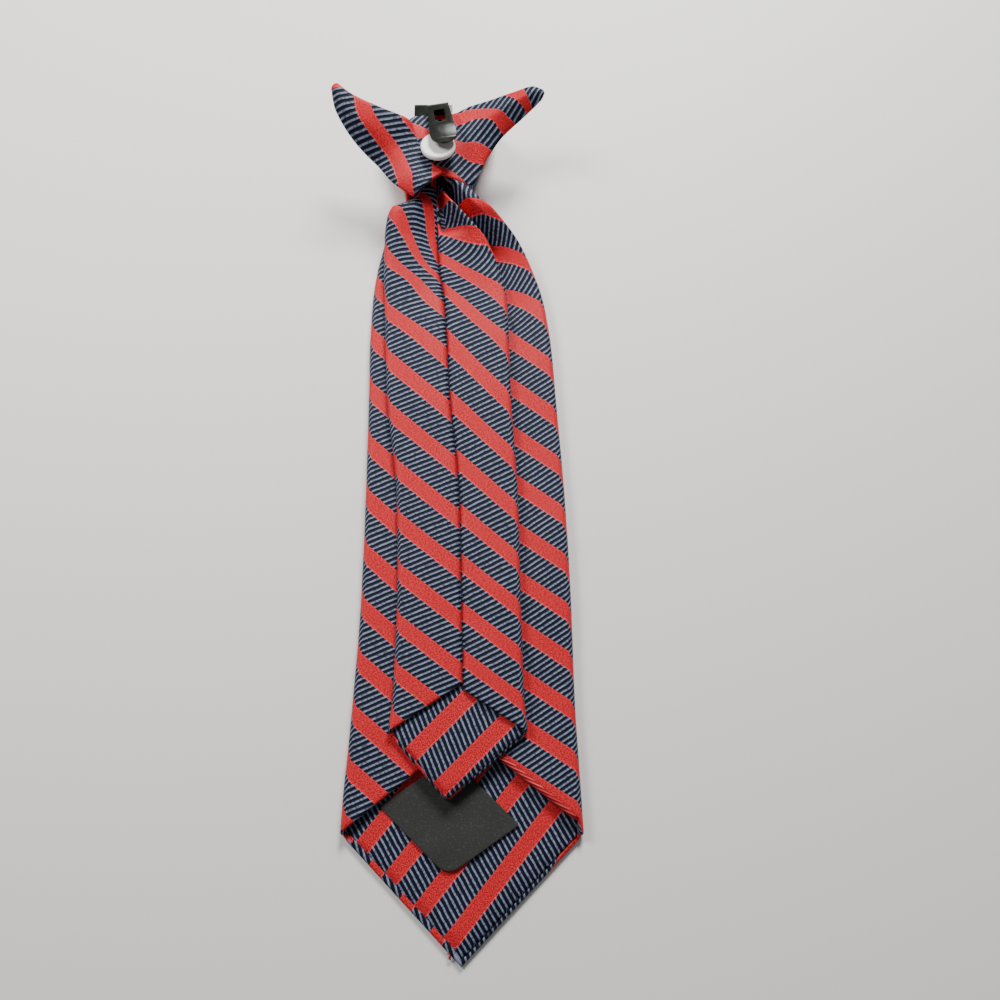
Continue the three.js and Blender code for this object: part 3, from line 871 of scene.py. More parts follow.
class ClothPiece:
    """A piece made of grids of spots. Subclasses give the spots, the thickness and the finish."""

    name: str
    cloth: float = 0.0
    edge: float = 0.0
    lies_flat: bool = False

    def fill(self, mesh: ClothMesh) -> None:
        """Adds the piece's grids to its mesh."""
        raise NotImplementedError

    def finish(self, finishes: Finishes) -> bpy.types.Material:
        """Returns the piece's finish."""
        return finishes.cloth

    def build(self, place: Place, finishes: Finishes) -> bpy.types.Object:
        """Builds the piece, with its thickness where it has one.

        Args:
            place: The place of the drawing in the frame.
            finishes: The tie's finishes.

        Returns:
            The piece's object.
        """
        mesh = ClothMesh(self.name)
        self.fill(mesh)
        piece = mesh.make(place, self.finish(finishes))
        if self.lies_flat:
            face_up(piece)
        if self.cloth > 0:
            thicken(piece, self.cloth)
        if self.edge > 0:
            bevel(piece, self.edge)
        return piece


SECTION_COLUMNS = (
    "along", "left", "right", "tail_left", "tail_right", "seam",
    "rise", "swell", "puff", "crest", "lap",
)


@dataclass
class TieForm:
    """The sizes that the blade, the tail and the knot share, and the tie's section along its length."""

    blade_width: float = 72
    blade_length: float = 234.5
    neck_tuck: float = 25
    corner: float = 36
    tail_width: float = 41.6
    neck_rise: float = 1.8
    neck_swell: float = 1.1
    puff_rise: float = 2.2
    dimple_depth: float = 1.2
    crest_rise: float = 5
    lap_rise: float = 1.4
    sections: Table = field(
        default_factory=lambda: Table(
            SECTION_COLUMNS,
            (
                (0.000, -1.000, 1.000, -1.063, 0.938, 0.000, 0.00, 0.00, 0.00, 0.00, 0.0),
                (0.051, -0.986, 0.985, -1.063, 0.938, 0.000, 0.00, 0.00, 0.00, 0.00, 0.0),
                (0.147, -0.945, 0.955, -1.063, 0.938, 0.000, 0.00, 0.00, 0.00, 0.00, 0.0),
                (0.196, -0.928, 0.942, -1.010, 0.890, 0.000, 0.00, 0.00, 0.00, 0.00, 0.0),
                (0.347, -0.883, 0.922, -0.971, 0.846, -0.030, 0.00, 0.00, 0.00, 0.00, 1.0),
                (0.509, -0.867, 0.881, -1.010, 0.808, -0.075, 0.00, 0.00, 0.00, 0.00, 1.0),
                (0.675, -0.864, 0.814, -1.190, 0.707, -0.236, 0.00, 0.00, 0.00, 0.00, 1.0),
                (0.761, -0.867, 0.778, -1.235, 0.680, -0.285, 0.00, 0.00, 0.00, 0.02, 1.0),
                (0.841, -0.853, 0.711, -1.265, 0.645, -0.345, 0.00, 0.00, 0.05, 0.10, 1.0),
                (0.892, -0.822, 0.622, -1.285, 0.520, -0.420, 0.03, 0.10, 0.25, 0.28, 1.0),
                (0.940, -0.760, 0.495, -1.280, 0.330, -0.447, 0.20, 0.40, 0.62, 0.62, 0.6),
                (0.972, -0.725, 0.340, -1.245, 0.030, -0.445, 0.65, 0.80, 0.92, 0.90, 0.2),
                (0.990, -0.680, 0.231, -1.165, -0.140, -0.445, 1.00, 1.00, 1.00, 1.00, 0.0),
                (1.003, -0.500, 0.135, -0.860, -0.230, -0.457, 1.00, 1.00, 0.55, 1.00, 0.0),
                (1.022, -0.440, 0.035, -0.740, -0.330, -0.466, 1.00, 1.00, 0.00, 1.00, 0.0),
                (1.042, -0.420, -0.140, -0.720, -0.430, -0.480, 1.00, 1.00, 0.00, 1.00, 0.0),
                (1.200, -0.420, -0.150, -0.720, -0.440, -0.490, 1.00, 1.00, 0.00, 1.00, 0.0),
            ),
        )
    )
    kept: dict[float, dict[str, float]] = field(default_factory=dict)

    @property
    def neck_end(self) -> float:
        """Returns where the neck ends inside the knot."""
        return self.blade_length + self.neck_tuck

    def section(self, y: float) -> dict[str, float]:
        """Reads the tie's section at a distance from the tip.

        Args:
            y: The distance in millimetres.

        Returns:
            The places of the edges and the heights of the folds, in millimetres.
        """
        key = round(y, 3)
        if key not in self.kept:
            row = self.sections.read((y - self.corner) / (self.blade_length - self.corner))
            half_blade, half_tail = self.blade_width / 2, self.tail_width / 2
            self.kept[key] = {
                "left": row["left"] * half_blade,
                "right": row["right"] * half_blade,
                "tail_left": row["tail_left"] * half_tail,
                "tail_right": row["tail_right"] * half_tail,
                "seam": row["seam"] * half_tail,
                "rise": row["rise"] * self.neck_rise,
                "swell": row["swell"] * self.neck_swell,
                "puff": row["puff"] * self.puff_rise,
                "ridge": row["puff"] * self.crest_rise / 2,
                "dimple": row["puff"] * self.dimple_depth,
                "crest": row["crest"] * self.crest_rise,
                "lap": row["lap"] * self.lap_rise,
                "gather": row["puff"],
            }
        return self.kept[key]


BROAD_WAVE = Wave(0.55, 0.05, 0.024, 3.1)
BUCKLE = Wave(0.16, 0.15, 0.08, 8.4)
PULL = Wave(0.55, 0.22, 0.05, 1.7)


def ripple(x: float, y: float, gather: float) -> float:
    """Returns how far the cloth stands up or down at a place, from soft waves and the pull of the knot.

    Args:
        x: The place across the tie in millimetres.
        y: The place along the tie in millimetres.
        gather: How strongly the cloth is gathered there, from 0 to 1.

    Returns:
        The rise in millimetres.
    """
    return BROAD_WAVE.rise(x, y) + BUCKLE.rise(x, y) + PULL.rise(x, y, gather)


@dataclass
class FoldedBand(ClothPiece):
    """A band of cloth folded flat: two flaps on top that roll over the sides into the front layer.

    The band ends in a point whose edges are hemmed inwards. Subclasses say where edges and tops lie.
    """

    form: TieForm
    name: str = "band"
    node: str = "blade_shell"
    tip_x: float = 0
    tip_y: float = 0
    corner_y: float = 36
    flap_rise: float = 38
    left_lift: float = 0.0
    right_lift: float = 0.0
    roll: float = 1.5
    half_height: float = 2.6
    cloth: float = 0.7
    hem_turn: float = 1.9
    hem_left: float = 1.1
    hem_right: float = 0.2
    plain_tip: float = 0.0
    flap_hem: float = 2.2
    flap_columns: int = 26
    roll_columns: int = 10
    front_columns: int = 38
    rows: int = 165
    hem_rows: int = 4
    turn_rows: int = 6
    join_at: float = 150
    steepest: float = 1.2
    hem_change: float = 2
    plain_lap: float = 1
    least_flap: float = 4
    settling: int = 6
    left_weave: Weave = Weave(0, 0.06, 0.05)
    right_weave: Weave = Weave(0, 0.06, 0.05)
    left_gather: Gather | None = None
    right_gather: Gather | None = None
    joined: tuple[float, float] | None = None

    @property
    def columns(self) -> int:
        """Returns how many columns the band has from flap to flap."""
        return 2 * self.flap_columns + 2 * self.roll_columns + self.front_columns

    def edges(self, y: float) -> tuple[float, float, float, float]:
        """Returns the left and right edges and the inner ends of the left and right flaps."""
        raise NotImplementedError

    def visible(self, y: float, side: Side) -> tuple[float, float]:
        """Returns the left and right sides of the part of a flap that shows."""
        raise NotImplementedError

    def base(self, y: float) -> float:
        """Returns the height of the front layer's outer face."""
        raise NotImplementedError

    def top(self, x: float, y: float, side: Side) -> float:
        """Returns the height of a flap's outer face."""
        raise NotImplementedError

    def on_band(self, column: float, y: float) -> tuple[float, float, float, float]:
        """Finds a point of the outer face and the way in from it.

        Args:
            column: The column, from the left flap's end round to the right flap's end.
            y: The distance from the tip.

        Returns:
            X, Z and the X and Z of the direction into the band.
        """
        left, right, left_end, right_end = self.edges(y)
        flap, turn, front = self.flap_columns, self.roll_columns, self.front_columns
        low = self.base(y)
        if column <= flap:
            x = mix(left_end, left + self.roll, column / flap)
            return x, self.top(x, y, Side.LEFT), 0.0, -1.0
        if column >= self.columns - flap:
            x = mix(right_end, right - self.roll, (self.columns - column) / flap)
            return x, self.top(x, y, Side.RIGHT), 0.0, -1.0
        if flap + turn <= column <= flap + turn + front:
            x = mix(left + self.roll, right - self.roll, (column - flap - turn) / front)
            return x, low, 0.0, 1.0
        side = Side.LEFT if column < flap + turn else Side.RIGHT
        centre = left + self.roll if side is Side.LEFT else right - self.roll
        steps = column - flap if side is Side.LEFT else self.columns - flap - column
        angle = math.pi * steps / turn
        high = self.top(centre, y, side)
        x = centre + side.value * self.roll * math.sin(angle)
        z = (high + low) / 2 + (high - low) / 2 * math.cos(angle)
        return x, z, -side.value * math.sin(angle), -math.cos(angle)

    def start(self, column: int) -> float:
        """Finds where a column starts: on the point's edge in front, and on the flap's lower edge on top.

        Args:
            column: The column.

        Returns:
            The distance from the tip. It is found in a few rounds, since a column leans as it goes up.
        """
        left, right, _, _ = self.edges(self.corner_y)
        y = self.corner_y
        for _ in range(self.settling):
            x, _, _, inward = self.on_band(column, y)
            if inward > 0:
                edge = left if x < self.tip_x else right
                share = min((x - self.tip_x) / (edge - self.tip_x), 1.0)
                y = mix(self.tip_y, self.corner_y, share)
            else:
                side = Side.LEFT if column < self.columns / 2 else Side.RIGHT
                y = self.flap_edge(x, side)
        return y

    def flap_edge(self, x: float, side: Side) -> float:
        """Finds where a flap's lower edge lies, which is lifted off the corner past the roll.

        Args:
            x: The place across the tie.
            side: The flap's side.

        Returns:
            The distance from the tip.
        """
        left, right, _, _ = self.edges(self.corner_y)
        lift = self.left_lift if side is Side.LEFT else self.right_lift
        from_side = max(x - left if side is Side.LEFT else right - x, 0.0)
        rise = math.tan(math.radians(self.flap_rise)) * from_side
        return self.corner_y + rise + lift * ease(from_side, 0, self.roll)

    def flap_lay(self, x: float, y: float, side: Side) -> tuple[float, float]:
        """Finds the counts on a flap, with the gathers where it is drawn into the knot.

        Args:
            x: The place across the tie.
            y: The distance from the tip.
            side: The flap's side.

        Returns:
            The count of stripes and the count of ribs.
        """
        weave = self.left_weave if side is Side.LEFT else self.right_weave
        gather = self.left_gather if side is Side.LEFT else self.right_gather
        if gather is None:
            return weave.stripe(x, y), weave.rib(x, y)
        low, high = self.visible(y, side)
        return gather.counts(weave, x, y, (x - low) / max(high - low, self.least_flap))

    def around(self, y: float) -> float:
        """Returns about how much cloth goes round the front, from one flap's outer end to the other's."""
        left, right, _, _ = self.edges(y)
        return right - left + self.half_height * math.pi - self.roll

    def join(self) -> tuple[float, float]:
        """Finds how many stripes and ribs lie between the flaps' counts, at one place for the whole band.

        Returns:
            The number of whole stripes and the number of ribs.
        """
        y = self.join_at
        left, right, _, _ = self.edges(y)
        first, first_rib = self.flap_lay(left + self.roll, y, Side.LEFT)
        last, last_rib = self.flap_lay(right - self.roll, y, Side.RIGHT)
        turns = round(self.left_weave.across * self.around(y) + last - first)
        slope = math.sin(math.radians(self.left_weave.rib_angle)) / self.left_weave.rib_pitch
        return turns, first_rib + slope * self.around(y) - last_rib

    def lay(self, column: float, y: float) -> tuple[float, float]:
        """Finds the counts of stripes and ribs, unbroken from one flap round the front to the other.

        Args:
            column: The column.
            y: The distance from the tip.

        Returns:
            The count of stripes and the count of ribs.
        """
        if self.joined is None:
            self.joined = self.join()
        turns, shift = self.joined
        flap = self.flap_columns
        x, _, _, _ = self.on_band(column, y)
        if column <= flap:
            return self.flap_lay(x, y, Side.LEFT)
        if column >= self.columns - flap:
            stripe, rib = self.flap_lay(x, y, Side.RIGHT)
            return stripe - turns, rib + shift
        left, right, _, _ = self.edges(y)
        first, first_rib = self.flap_lay(left + self.roll, y, Side.LEFT)
        last, last_rib = self.flap_lay(right - self.roll, y, Side.RIGHT)
        share = (column - flap) / (self.columns - 2 * flap)
        return mix(first, last - turns, share), mix(first_rib, last_rib + shift, share)

    def spot(self, column: int, y: float, inwards: float = 0.0, out: float = 0.0) -> Spot:
        """Returns a spot of the band.

        Args:
            column: The column.
            y: The distance from the tip of the point on the outer face.
            inwards: How far the spot lies inside the outer face.
            out: How far its cloth lies outside this place when the hem is unfolded.

        Returns:
            The spot.
        """
        x, z, inward_x, inward_z = self.on_band(column, y)
        at_column, at_y = float(column), y
        if out > 0:
            slope, width = self.edge_slope(column)
            lean = 1 / math.hypot(1, slope)
            at_y = y - out * lean
            if width != 0:
                at_column = column + out * slope * lean / width
        stripe, rib = self.lay(at_column, at_y)
        return Spot(x + inward_x * inwards, y, z + inward_z * inwards, stripe, rib)

    def edge_slope(self, column: int) -> tuple[float, float]:
        """Finds the slope of the lower edge at a column and the column's width, both zero on the rolls.

        Args:
            column: The column.

        Returns:
            The slope and the width.
        """
        flap, turn = self.flap_columns, self.roll_columns
        on_roll = flap <= column <= flap + turn or flap <= self.columns - column <= flap + turn
        if on_roll:
            return 0.0, 0.0
        step = 1 if column < self.columns else 0
        back = 1 - step
        first, last = column - back, column + step
        y = self.start(column)
        width = self.on_band(last, y)[0] - self.on_band(first, y)[0]
        rise = self.start(last) - self.start(first)
        return clamp(rise / width, -self.steepest, self.steepest), width

    def hem_width(self, column: int) -> float:
        """Finds the width of the hem at a column.

        Args:
            column: The column.

        Returns:
            The width in millimetres.
        """
        x, _, _, inward = self.on_band(column, self.start(column))
        if inward <= 0:
            return self.flap_hem
        share = ease(x, self.tip_x - self.hem_change, self.tip_x + self.hem_change)
        return mix(self.hem_left, self.hem_right, share)

    def hem_spot(self, column: int, y: float, inwards: float, out: float) -> Spot:
        """Returns a spot of the hem, which shows no red at the tip's right side.

        Args:
            column: The column.
            y: The distance from the tip of the point on the outer face.
            inwards: How far the spot lies inside the outer face.
            out: How far its cloth lies outside this place when the hem is unfolded.

        Returns:
            The spot.
        """
        spot = self.spot(column, y, inwards, out)
        plain_end = self.tip_y + self.plain_tip
        if spot.x > self.tip_x - self.plain_lap and self.start(column) < plain_end:
            last = self.columns // 2
            while self.start(last) < plain_end:
                last += 1
            spot = spot._replace(stripe=self.lay(last, self.start(last))[0])
        return spot

    def column_spots(self, column: int) -> list[Spot]:
        """Builds one column: the hem's inner end, its turn at the edge, and the outer face up to the knot.

        Args:
            column: The column.

        Returns:
            The column's spots, from the hem's inner end.
        """
        start = self.start(column)
        slope, _ = self.edge_slope(column)
        stretch = math.hypot(1, slope)
        width = self.hem_width(column)
        radius = self.hem_turn / 2
        spots = []
        for step in range(self.hem_rows):
            inside = radius + width * (1 - step / self.hem_rows)
            unfolded = inside - radius + math.pi * radius
            out = inside - radius + unfolded
            spots.append(self.hem_spot(column, start + inside * stretch, self.hem_turn, out))
        for step in range(self.turn_rows + 1):
            angle = math.pi * step / self.turn_rows
            inside = radius * (1 - math.sin(angle))
            walked = radius * (math.pi - angle)
            out = max(inside - radius + walked, 0)
            depth = radius * (1 + math.cos(angle))
            spots.append(self.hem_spot(column, start + inside * stretch, depth, out))
        first = start + radius * stretch
        for row in range(1, self.rows + 1):
            spots.append(self.spot(column, mix(first, self.form.neck_end, row / self.rows)))
        return spots

    def fill(self, mesh: ClothMesh) -> None:
        """Adds the band's rows, from the hem's inner end up into the knot."""
        columns = [self.column_spots(column) for column in range(self.columns + 1)]
        mesh.grid([list(row) for row in zip(*columns)])


@dataclass
class Blade(FoldedBand):
    """The front blade, whose two flaps lie under the tail."""

    name: str = "blade_cloth"
    node: str = "blade_shell"
    tip_x: float = 0.0
    tip_y: float = -0.6
    plain_tip: float = 11
    left_lift: float = 0.6
    right_lift: float = 3.6
    thickness: float = 5.2
    flap_parting: float = 3
    left_weave: Weave = Weave(-7.915, 0.06343, 0.05066, -0.0000227, 23, 1.55)
    right_weave: Weave = Weave(-12.928, 0.07470, 0.04586, -0.0000310, 33, 1.5)
    draw: float = 3.2
    drawn_rows: Span = Span(218, 236, 243, 250)
    crest_start: float = 0.6
    crest_reach: float = 0.5
    calm: float = 0.3
    right_gather: Gather | None = Gather(
        Table(
            GATHER_COLUMNS,
            (
                (180, 0.17, 0.50, 0.83, 95.42, 92.84, 90.25),
                (190, 0.80, 1.11, 1.43, 101.30, 98.60, 95.90),
                (200, 1.42, 1.64, 1.89, 107.11, 104.15, 101.19),
                (208, 2.04, 2.16, 2.35, 111.59, 108.37, 105.12),
                (216, 2.53, 2.66, 2.84, 115.98, 112.53, 109.06),
                (224, 3.08, 3.25, 3.44, 120.31, 116.79, 113.24),
                (232, 3.67, 3.79, 3.91, 126.48, 122.66, 118.84),
                (240, 4.60, 4.59, 4.58, 130.93, 127.22, 125.52),
            ),
        )
    )

    def visible(self, y: float, side: Side) -> tuple[float, float]:
        """Returns the part of a flap beside the tail."""
        s = self.form.section(y)
        return (s["left"], s["tail_left"]) if side is Side.LEFT else (s["tail_right"], s["right"])

    def edges(self, y: float) -> tuple[float, float, float, float]:
        """Returns the blade's edges and its flaps' inner ends."""
        s = self.form.section(y)
        middle = (s["tail_left"] + s["tail_right"]) / 2
        return s["left"], s["right"], middle - self.flap_parting / 2, middle + self.flap_parting / 2

    def base(self, y: float) -> float:
        """Returns the height of the blade's front."""
        return self.form.section(y)["rise"]

    def top(self, x: float, y: float, side: Side) -> float:
        """Finds the height of a flap, with the right flap's crest where it is drawn into the knot.

        Args:
            x: The place across the tie.
            y: The distance from the tip.
            side: The flap's side.

        Returns:
            The height in millimetres.
        """
        s = self.form.section(y)
        height = s["rise"] + self.thickness + s["swell"] + ripple(x, y, self.calm * s["gather"])
        if side is Side.RIGHT:
            rise = s["crest"] + self.drawn_rows.share(y, self.draw)
            reach = s["right"] - s["tail_right"]
            start = s["tail_right"] + self.crest_start
            height += rise * ease(x, start, start + self.crest_reach * reach)
        return height


@dataclass
class Tail(FoldedBand):
    """The tail blade on the back of the front blade, with its seam down the middle."""

    name: str = "tail_cloth"
    node: str = "tail_shell"
    tip_x: float = -4.4
    tip_y: float = 45.6
    corner_y: float = 65.6
    flap_rise: float = 33
    roll: float = 1.3
    half_height: float = 2.0
    thickness: float = 4
    under: float = 5.5
    hem_turn: float = 1.5
    hem_left: float = 0.3
    hem_right: float = 0.3
    flap_hem: float = 1.6
    droop: float = 1.2
    droop_reach: float = 8
    flap_columns: int = 24
    roll_columns: int = 10
    front_columns: int = 18
    rows: int = 150
    left_lap: float = 0.1
    right_lap: float = 0.15
    edge_round: float = 1.4
    edge_drop: float = 0.9
    pillow: float = 0.45
    pocket: float = 3.9
    pocket_rows: Span = Span(223.5, 227.5, 237, 241)
    pocket_columns: Span = Span(0.0, 0.16, 0.26, 0.8)
    draw: float = 1.2
    draw_start: float = 215
    draw_full: float = 230
    ridge_start: float = 0.1
    ridge_full: float = 0.85
    left_weave: Weave = Weave(-11.093, 0.07443, 0.05089, -0.0000415, 22, 1.5)
    right_weave: Weave = Weave(-12.564, 0.09396, 0.05531, -0.0001125, 26, 1.55)
    left_gather: Gather | None = Gather(
        Table(
            GATHER_COLUMNS,
            (
                (180, -0.34, 0.18, 0.68, 117.59, 115.12, 112.64),
                (190, 0.23, 0.73, 1.22, 123.96, 121.33, 118.96),
                (200, 0.90, 1.35, 1.89, 129.92, 127.51, 125.99),
                (208, 1.26, 1.70, 2.62, 134.51, 132.62, 132.08),
                (216, 1.71, 2.47, 3.75, 139.07, 137.78, 138.15),
                (224, 2.23, 2.95, 4.10, 143.80, 142.98, 143.82),
                (232, 2.88, 3.30, 4.15, 148.78, 148.39, 148.77),
                (240, 4.46, 4.58, 4.64, 153.60, 153.82, 153.82),
            ),
        )
    )
    right_gather: Gather | None = Gather(
        Table(
            GATHER_COLUMNS,
            (
                (180, 0.42, 0.95, 1.50, 105.94, 103.12, 100.31),
                (190, 0.87, 1.43, 2.00, 111.67, 109.11, 106.52),
                (200, 1.31, 2.08, 2.74, 117.38, 115.39, 112.56),
                (208, 1.92, 2.67, 3.05, 122.38, 120.66, 117.00),
                (216, 2.71, 3.24, 3.39, 127.98, 125.68, 121.05),
                (224, 3.50, 3.82, 3.87, 133.20, 129.78, 125.28),
                (232, 4.40, 4.47, 4.58, 135.85, 133.94, 131.95),
                (240, 5.27, 5.10, 5.28, 138.03, 135.98, 133.94),
            ),
        )
    )

    def visible(self, y: float, side: Side) -> tuple[float, float]:
        """Returns the whole of a flap, from the tail's edge to the seam."""
        s = self.form.section(y)
        return (s["tail_left"], s["seam"]) if side is Side.LEFT else (s["seam"], s["tail_right"])

    def edges(self, y: float) -> tuple[float, float, float, float]:
        """Returns the tail's edges and its flaps' ends at the seam."""
        s = self.form.section(y)
        return s["tail_left"], s["tail_right"], s["seam"] + self.left_lap, s["seam"] + self.right_lap

    def base(self, y: float) -> float:
        """Returns the height of the tail's front layer, which droops at its free end."""
        s = self.form.section(y)
        droop = self.droop * (1 - ease(y, self.tip_y, self.tip_y + self.droop_reach))
        return s["rise"] + self.under + s["swell"] - droop

    def top(self, x: float, y: float, side: Side) -> float:
        """Finds the height of a flap, rounded down at the seam and puffed where it is gathered.

        Args:
            x: The place across the tie.
            y: The distance from the tip.
            side: The flap's side.

        Returns:
            The height in millimetres.
        """
        s = self.form.section(y)
        height = self.base(y) + self.thickness + s["swell"] + ripple(x, y, s["gather"])
        if side is Side.LEFT:
            share = clamp((s["seam"] - x) / (s["seam"] - s["tail_left"]))
            from_seam = s["seam"] + self.left_lap - x
            height += s["puff"] * math.sin(math.pi * share)
            height -= 2 * s["dimple"] * (1 - ease(from_seam, 0, 2 * self.thickness))
        else:
            share = clamp((x - s["seam"]) / (s["tail_right"] - s["seam"]))
            from_seam = x - s["seam"] - self.right_lap
            ridge = s["ridge"] + self.draw * ease(y, self.draw_start, self.draw_full)
            height += ridge * ease(share, self.ridge_start, self.ridge_full)
            height -= s["dimple"] * (1 - ease(from_seam, 0, self.thickness))
            height -= self.pocket_columns.share(share, self.pocket_rows.share(y, self.pocket))
        height -= self.pillow * (2 * share - 1) ** 2
        rounding = max(1 - from_seam / self.edge_round, 0.0)
        return height - self.edge_drop * rounding * rounding


@dataclass
class Lining(ClothPiece):
    """A pointed end's lining, which fills the point inside its hem and runs up under the flaps."""

    band: FoldedBand
    name: str
    node: str
    weave: Weave
    inset: float
    length: float
    side: float
    height: float
    swell: float = 0.9
    cloth: float = 0.4
    lies_flat: bool = True
    point_slope: float = 45
    rim: float = 8
    lower_rim: float = 1.5
    ripple_height: float = 0.6
    ripple_pace: float = 1.7
    columns: int = 44
    rows: int = 46

    def spot(self, across: float, along: float) -> Spot:
        """Returns a spot of the lining's upper face.

        Args:
            across: The share from the left side to the right side.
            along: The share from the lower edge to the upper end.

        Returns:
            The spot.
        """
        band = self.band
        end = band.tip_y + self.length
        left, right, _, _ = band.edges(band.corner_y)
        low_left, low_right = left + self.side, right - self.side
        x = mix(low_left, low_right, across)
        edge = left if x < band.tip_x else right
        inset = self.inset / math.cos(math.radians(self.point_slope))
        lower = mix(band.tip_y, band.corner_y, (x - band.tip_x) / (edge - band.tip_x)) + inset
        y = mix(lower, end, along)
        left, right, _, _ = band.edges(y)
        x = mix(left + self.side, right - self.side, across)
        from_rim = min(across, 1 - across, along * self.lower_rim) * self.rim
        uneven = self.ripple_height * ripple(x * self.ripple_pace, y * self.ripple_pace, 0)
        height = self.height + self.swell * ease(from_rim, 0, 1) + uneven
        return Spot(x, y, height, self.weave.stripe(x, y), self.weave.rib(x, y))

    def fill(self, mesh: ClothMesh) -> None:
        """Adds the lining's rows."""
        mesh.grid(spot_rows(self.spot, self.columns, self.rows))


def blade_lining(blade: Blade) -> Lining:
    """Returns the lining of the blade's point."""
    weave = Weave(0.273, 0.05129, -0.06294, rib_angle=120, rib_pitch=1.62)
    sizes = {"inset": 1.3, "length": 78, "side": 1.2, "height": 1.25}
    return Lining(blade, "blade_lining", "blade_tipping", weave, **sizes)


def tail_lining(tail: Tail) -> Lining:
    """Returns the lining of the tail's point."""
    weave = Weave(-2.284, 0.05503, -0.05405, rib_angle=113, rib_pitch=1.58)
    sizes = {"inset": 0.6, "length": 40, "side": 0.7, "height": 6.9}
    return Lining(tail, "tail_lining", "tail_tipping", weave, **sizes)


# A count of stripes on the ribbed ground, which the red cord and the threads stay on.
PLAIN_STRIPE = 0.3


def tube(
    mesh: ClothMesh, path: Sequence[Vector], radius: Sequence[float], sides: int, twist: float, pitch: float
) -> None:
    """Adds a closed tube along a path, with ribs that wind round it.

    Args:
        mesh: The mesh to add to.
        path: The middle line, in millimetres.
        radius: The tube's radius at each point of the path.
        sides: How many sides it has.
        twist: How many ribs one turn round the tube crosses.
        pitch: The distance of the ribs along the tube.
    """
    rows = []
    walked = 0.0
    for i, middle in enumerate(path):
        before, after = path[max(i - 1, 0)], path[min(i + 1, len(path) - 1)]
        forward = (after - before).normalized()
        across = forward.cross(Vector((0, 0, 1))).normalized()
        up = across.cross(forward)
        walked += (middle - path[i - 1]).length if i else 0
        row = []
        for side in range(sides + 1):
            angle = math.tau * side / sides
            out = middle + (across * math.cos(angle) + up * math.sin(angle)) * radius[i]
            row.append(Spot(out.x, out.y, out.z, PLAIN_STRIPE, walked / pitch + twist * side / sides))
        rows.append(row)
    mesh.grid(rows)
    for row, middle in ((rows[0], path[0]), (rows[-1], path[-1])):
        mesh.fan(row, Spot(middle.x, middle.y, middle.z, PLAIN_STRIPE, row[0].rib))


@dataclass
class CordedEdge(ClothPiece):
    """The red rolled edge along the lower end of the blade's right flap."""

    blade: Blade
    name: str = "corded_edge"
    radius: float = 1.0
    twist: float = -6
    pitch: float = 3.4
    inner_x: float = 6.0
    corner_inset: float = 0.9
    outset: float = 0.1
    raised: float = 0.2
    sag: float = 1.6
    sag_share: float = 0.10
    thin_end: float = 0.75
    thin_share: float = 0.08
    uneven: Wave = Wave(0.05, 1, 1, 0)
    steps: int = 90
    sides: int = 16

    def finish(self, finishes: Finishes) -> bpy.types.Material:
        """Returns the red ribbed finish."""
        return finishes.cord

    def fill(self, mesh: ClothMesh) -> None:
        """Adds the rolled edge as a tube along the flap's lower end, thinner and lower at the corner.

        Args:
            mesh: The mesh to add to.
        """
        blade = self.blade
        _, right, _, _ = blade.edges(blade.corner_y)
        path, radii = [], []
        for step in range(self.steps + 1):
            share = step / self.steps
            x = mix(right - self.corner_inset, self.inner_x, share)
            y = blade.flap_edge(x, Side.RIGHT) - self.outset
            sag = self.sag * (1 - ease(share, 0, self.sag_share))
            z = blade.top(x, y, Side.RIGHT) - self.radius + self.raised - sag
            path.append(Vector((x, y, z)))
            thin = mix(self.thin_end, 1.0, ease(share, 0, self.thin_share))
            radii.append(self.radius * thin * (1 + self.uneven.rise(x, y)))
        tube(mesh, path, radii, self.sides, self.twist, self.pitch)


@dataclass
class ThreadTuft(ClothPiece):
    """The loose ends of red thread beside the blade's tip."""

    name: str = "thread_tuft"
    x: float = -3.2
    y: float = 2.9
    z: float = 2.1
    radius: float = 0.17
    ends: tuple[tuple[float, float, float, float], ...] = (
        (-0.7, -1.2, -0.9, 0.4),
        (0.2, -1.5, -1.1, -0.4),
        (-0.9, 0.4, -0.3, 0.3),
    )
    lift: float = 0.4
    steps: int = 12
    sides: int = 8
    twist: float = 2
    pitch: float = 0.4

    def finish(self, finishes: Finishes) -> bpy.types.Material:
        """Returns the red ribbed finish."""
        return finishes.cord

    def fill(self, mesh: ClothMesh) -> None:
        """Adds each loose end as a bent tube.

        Args:
            mesh: The mesh to add to.
        """
        root = Vector((self.x, self.y, self.z))
        for *end, bend in self.ends:
            path = []
            for step in range(self.steps + 1):
                share = step / self.steps
                side = bend * math.sin(math.pi * share)
                path.append(root + Vector(end) * share + Vector((side, 0, self.lift * side)))
            tube(mesh, path, [self.radius] * len(path), self.sides, self.twist, self.pitch)


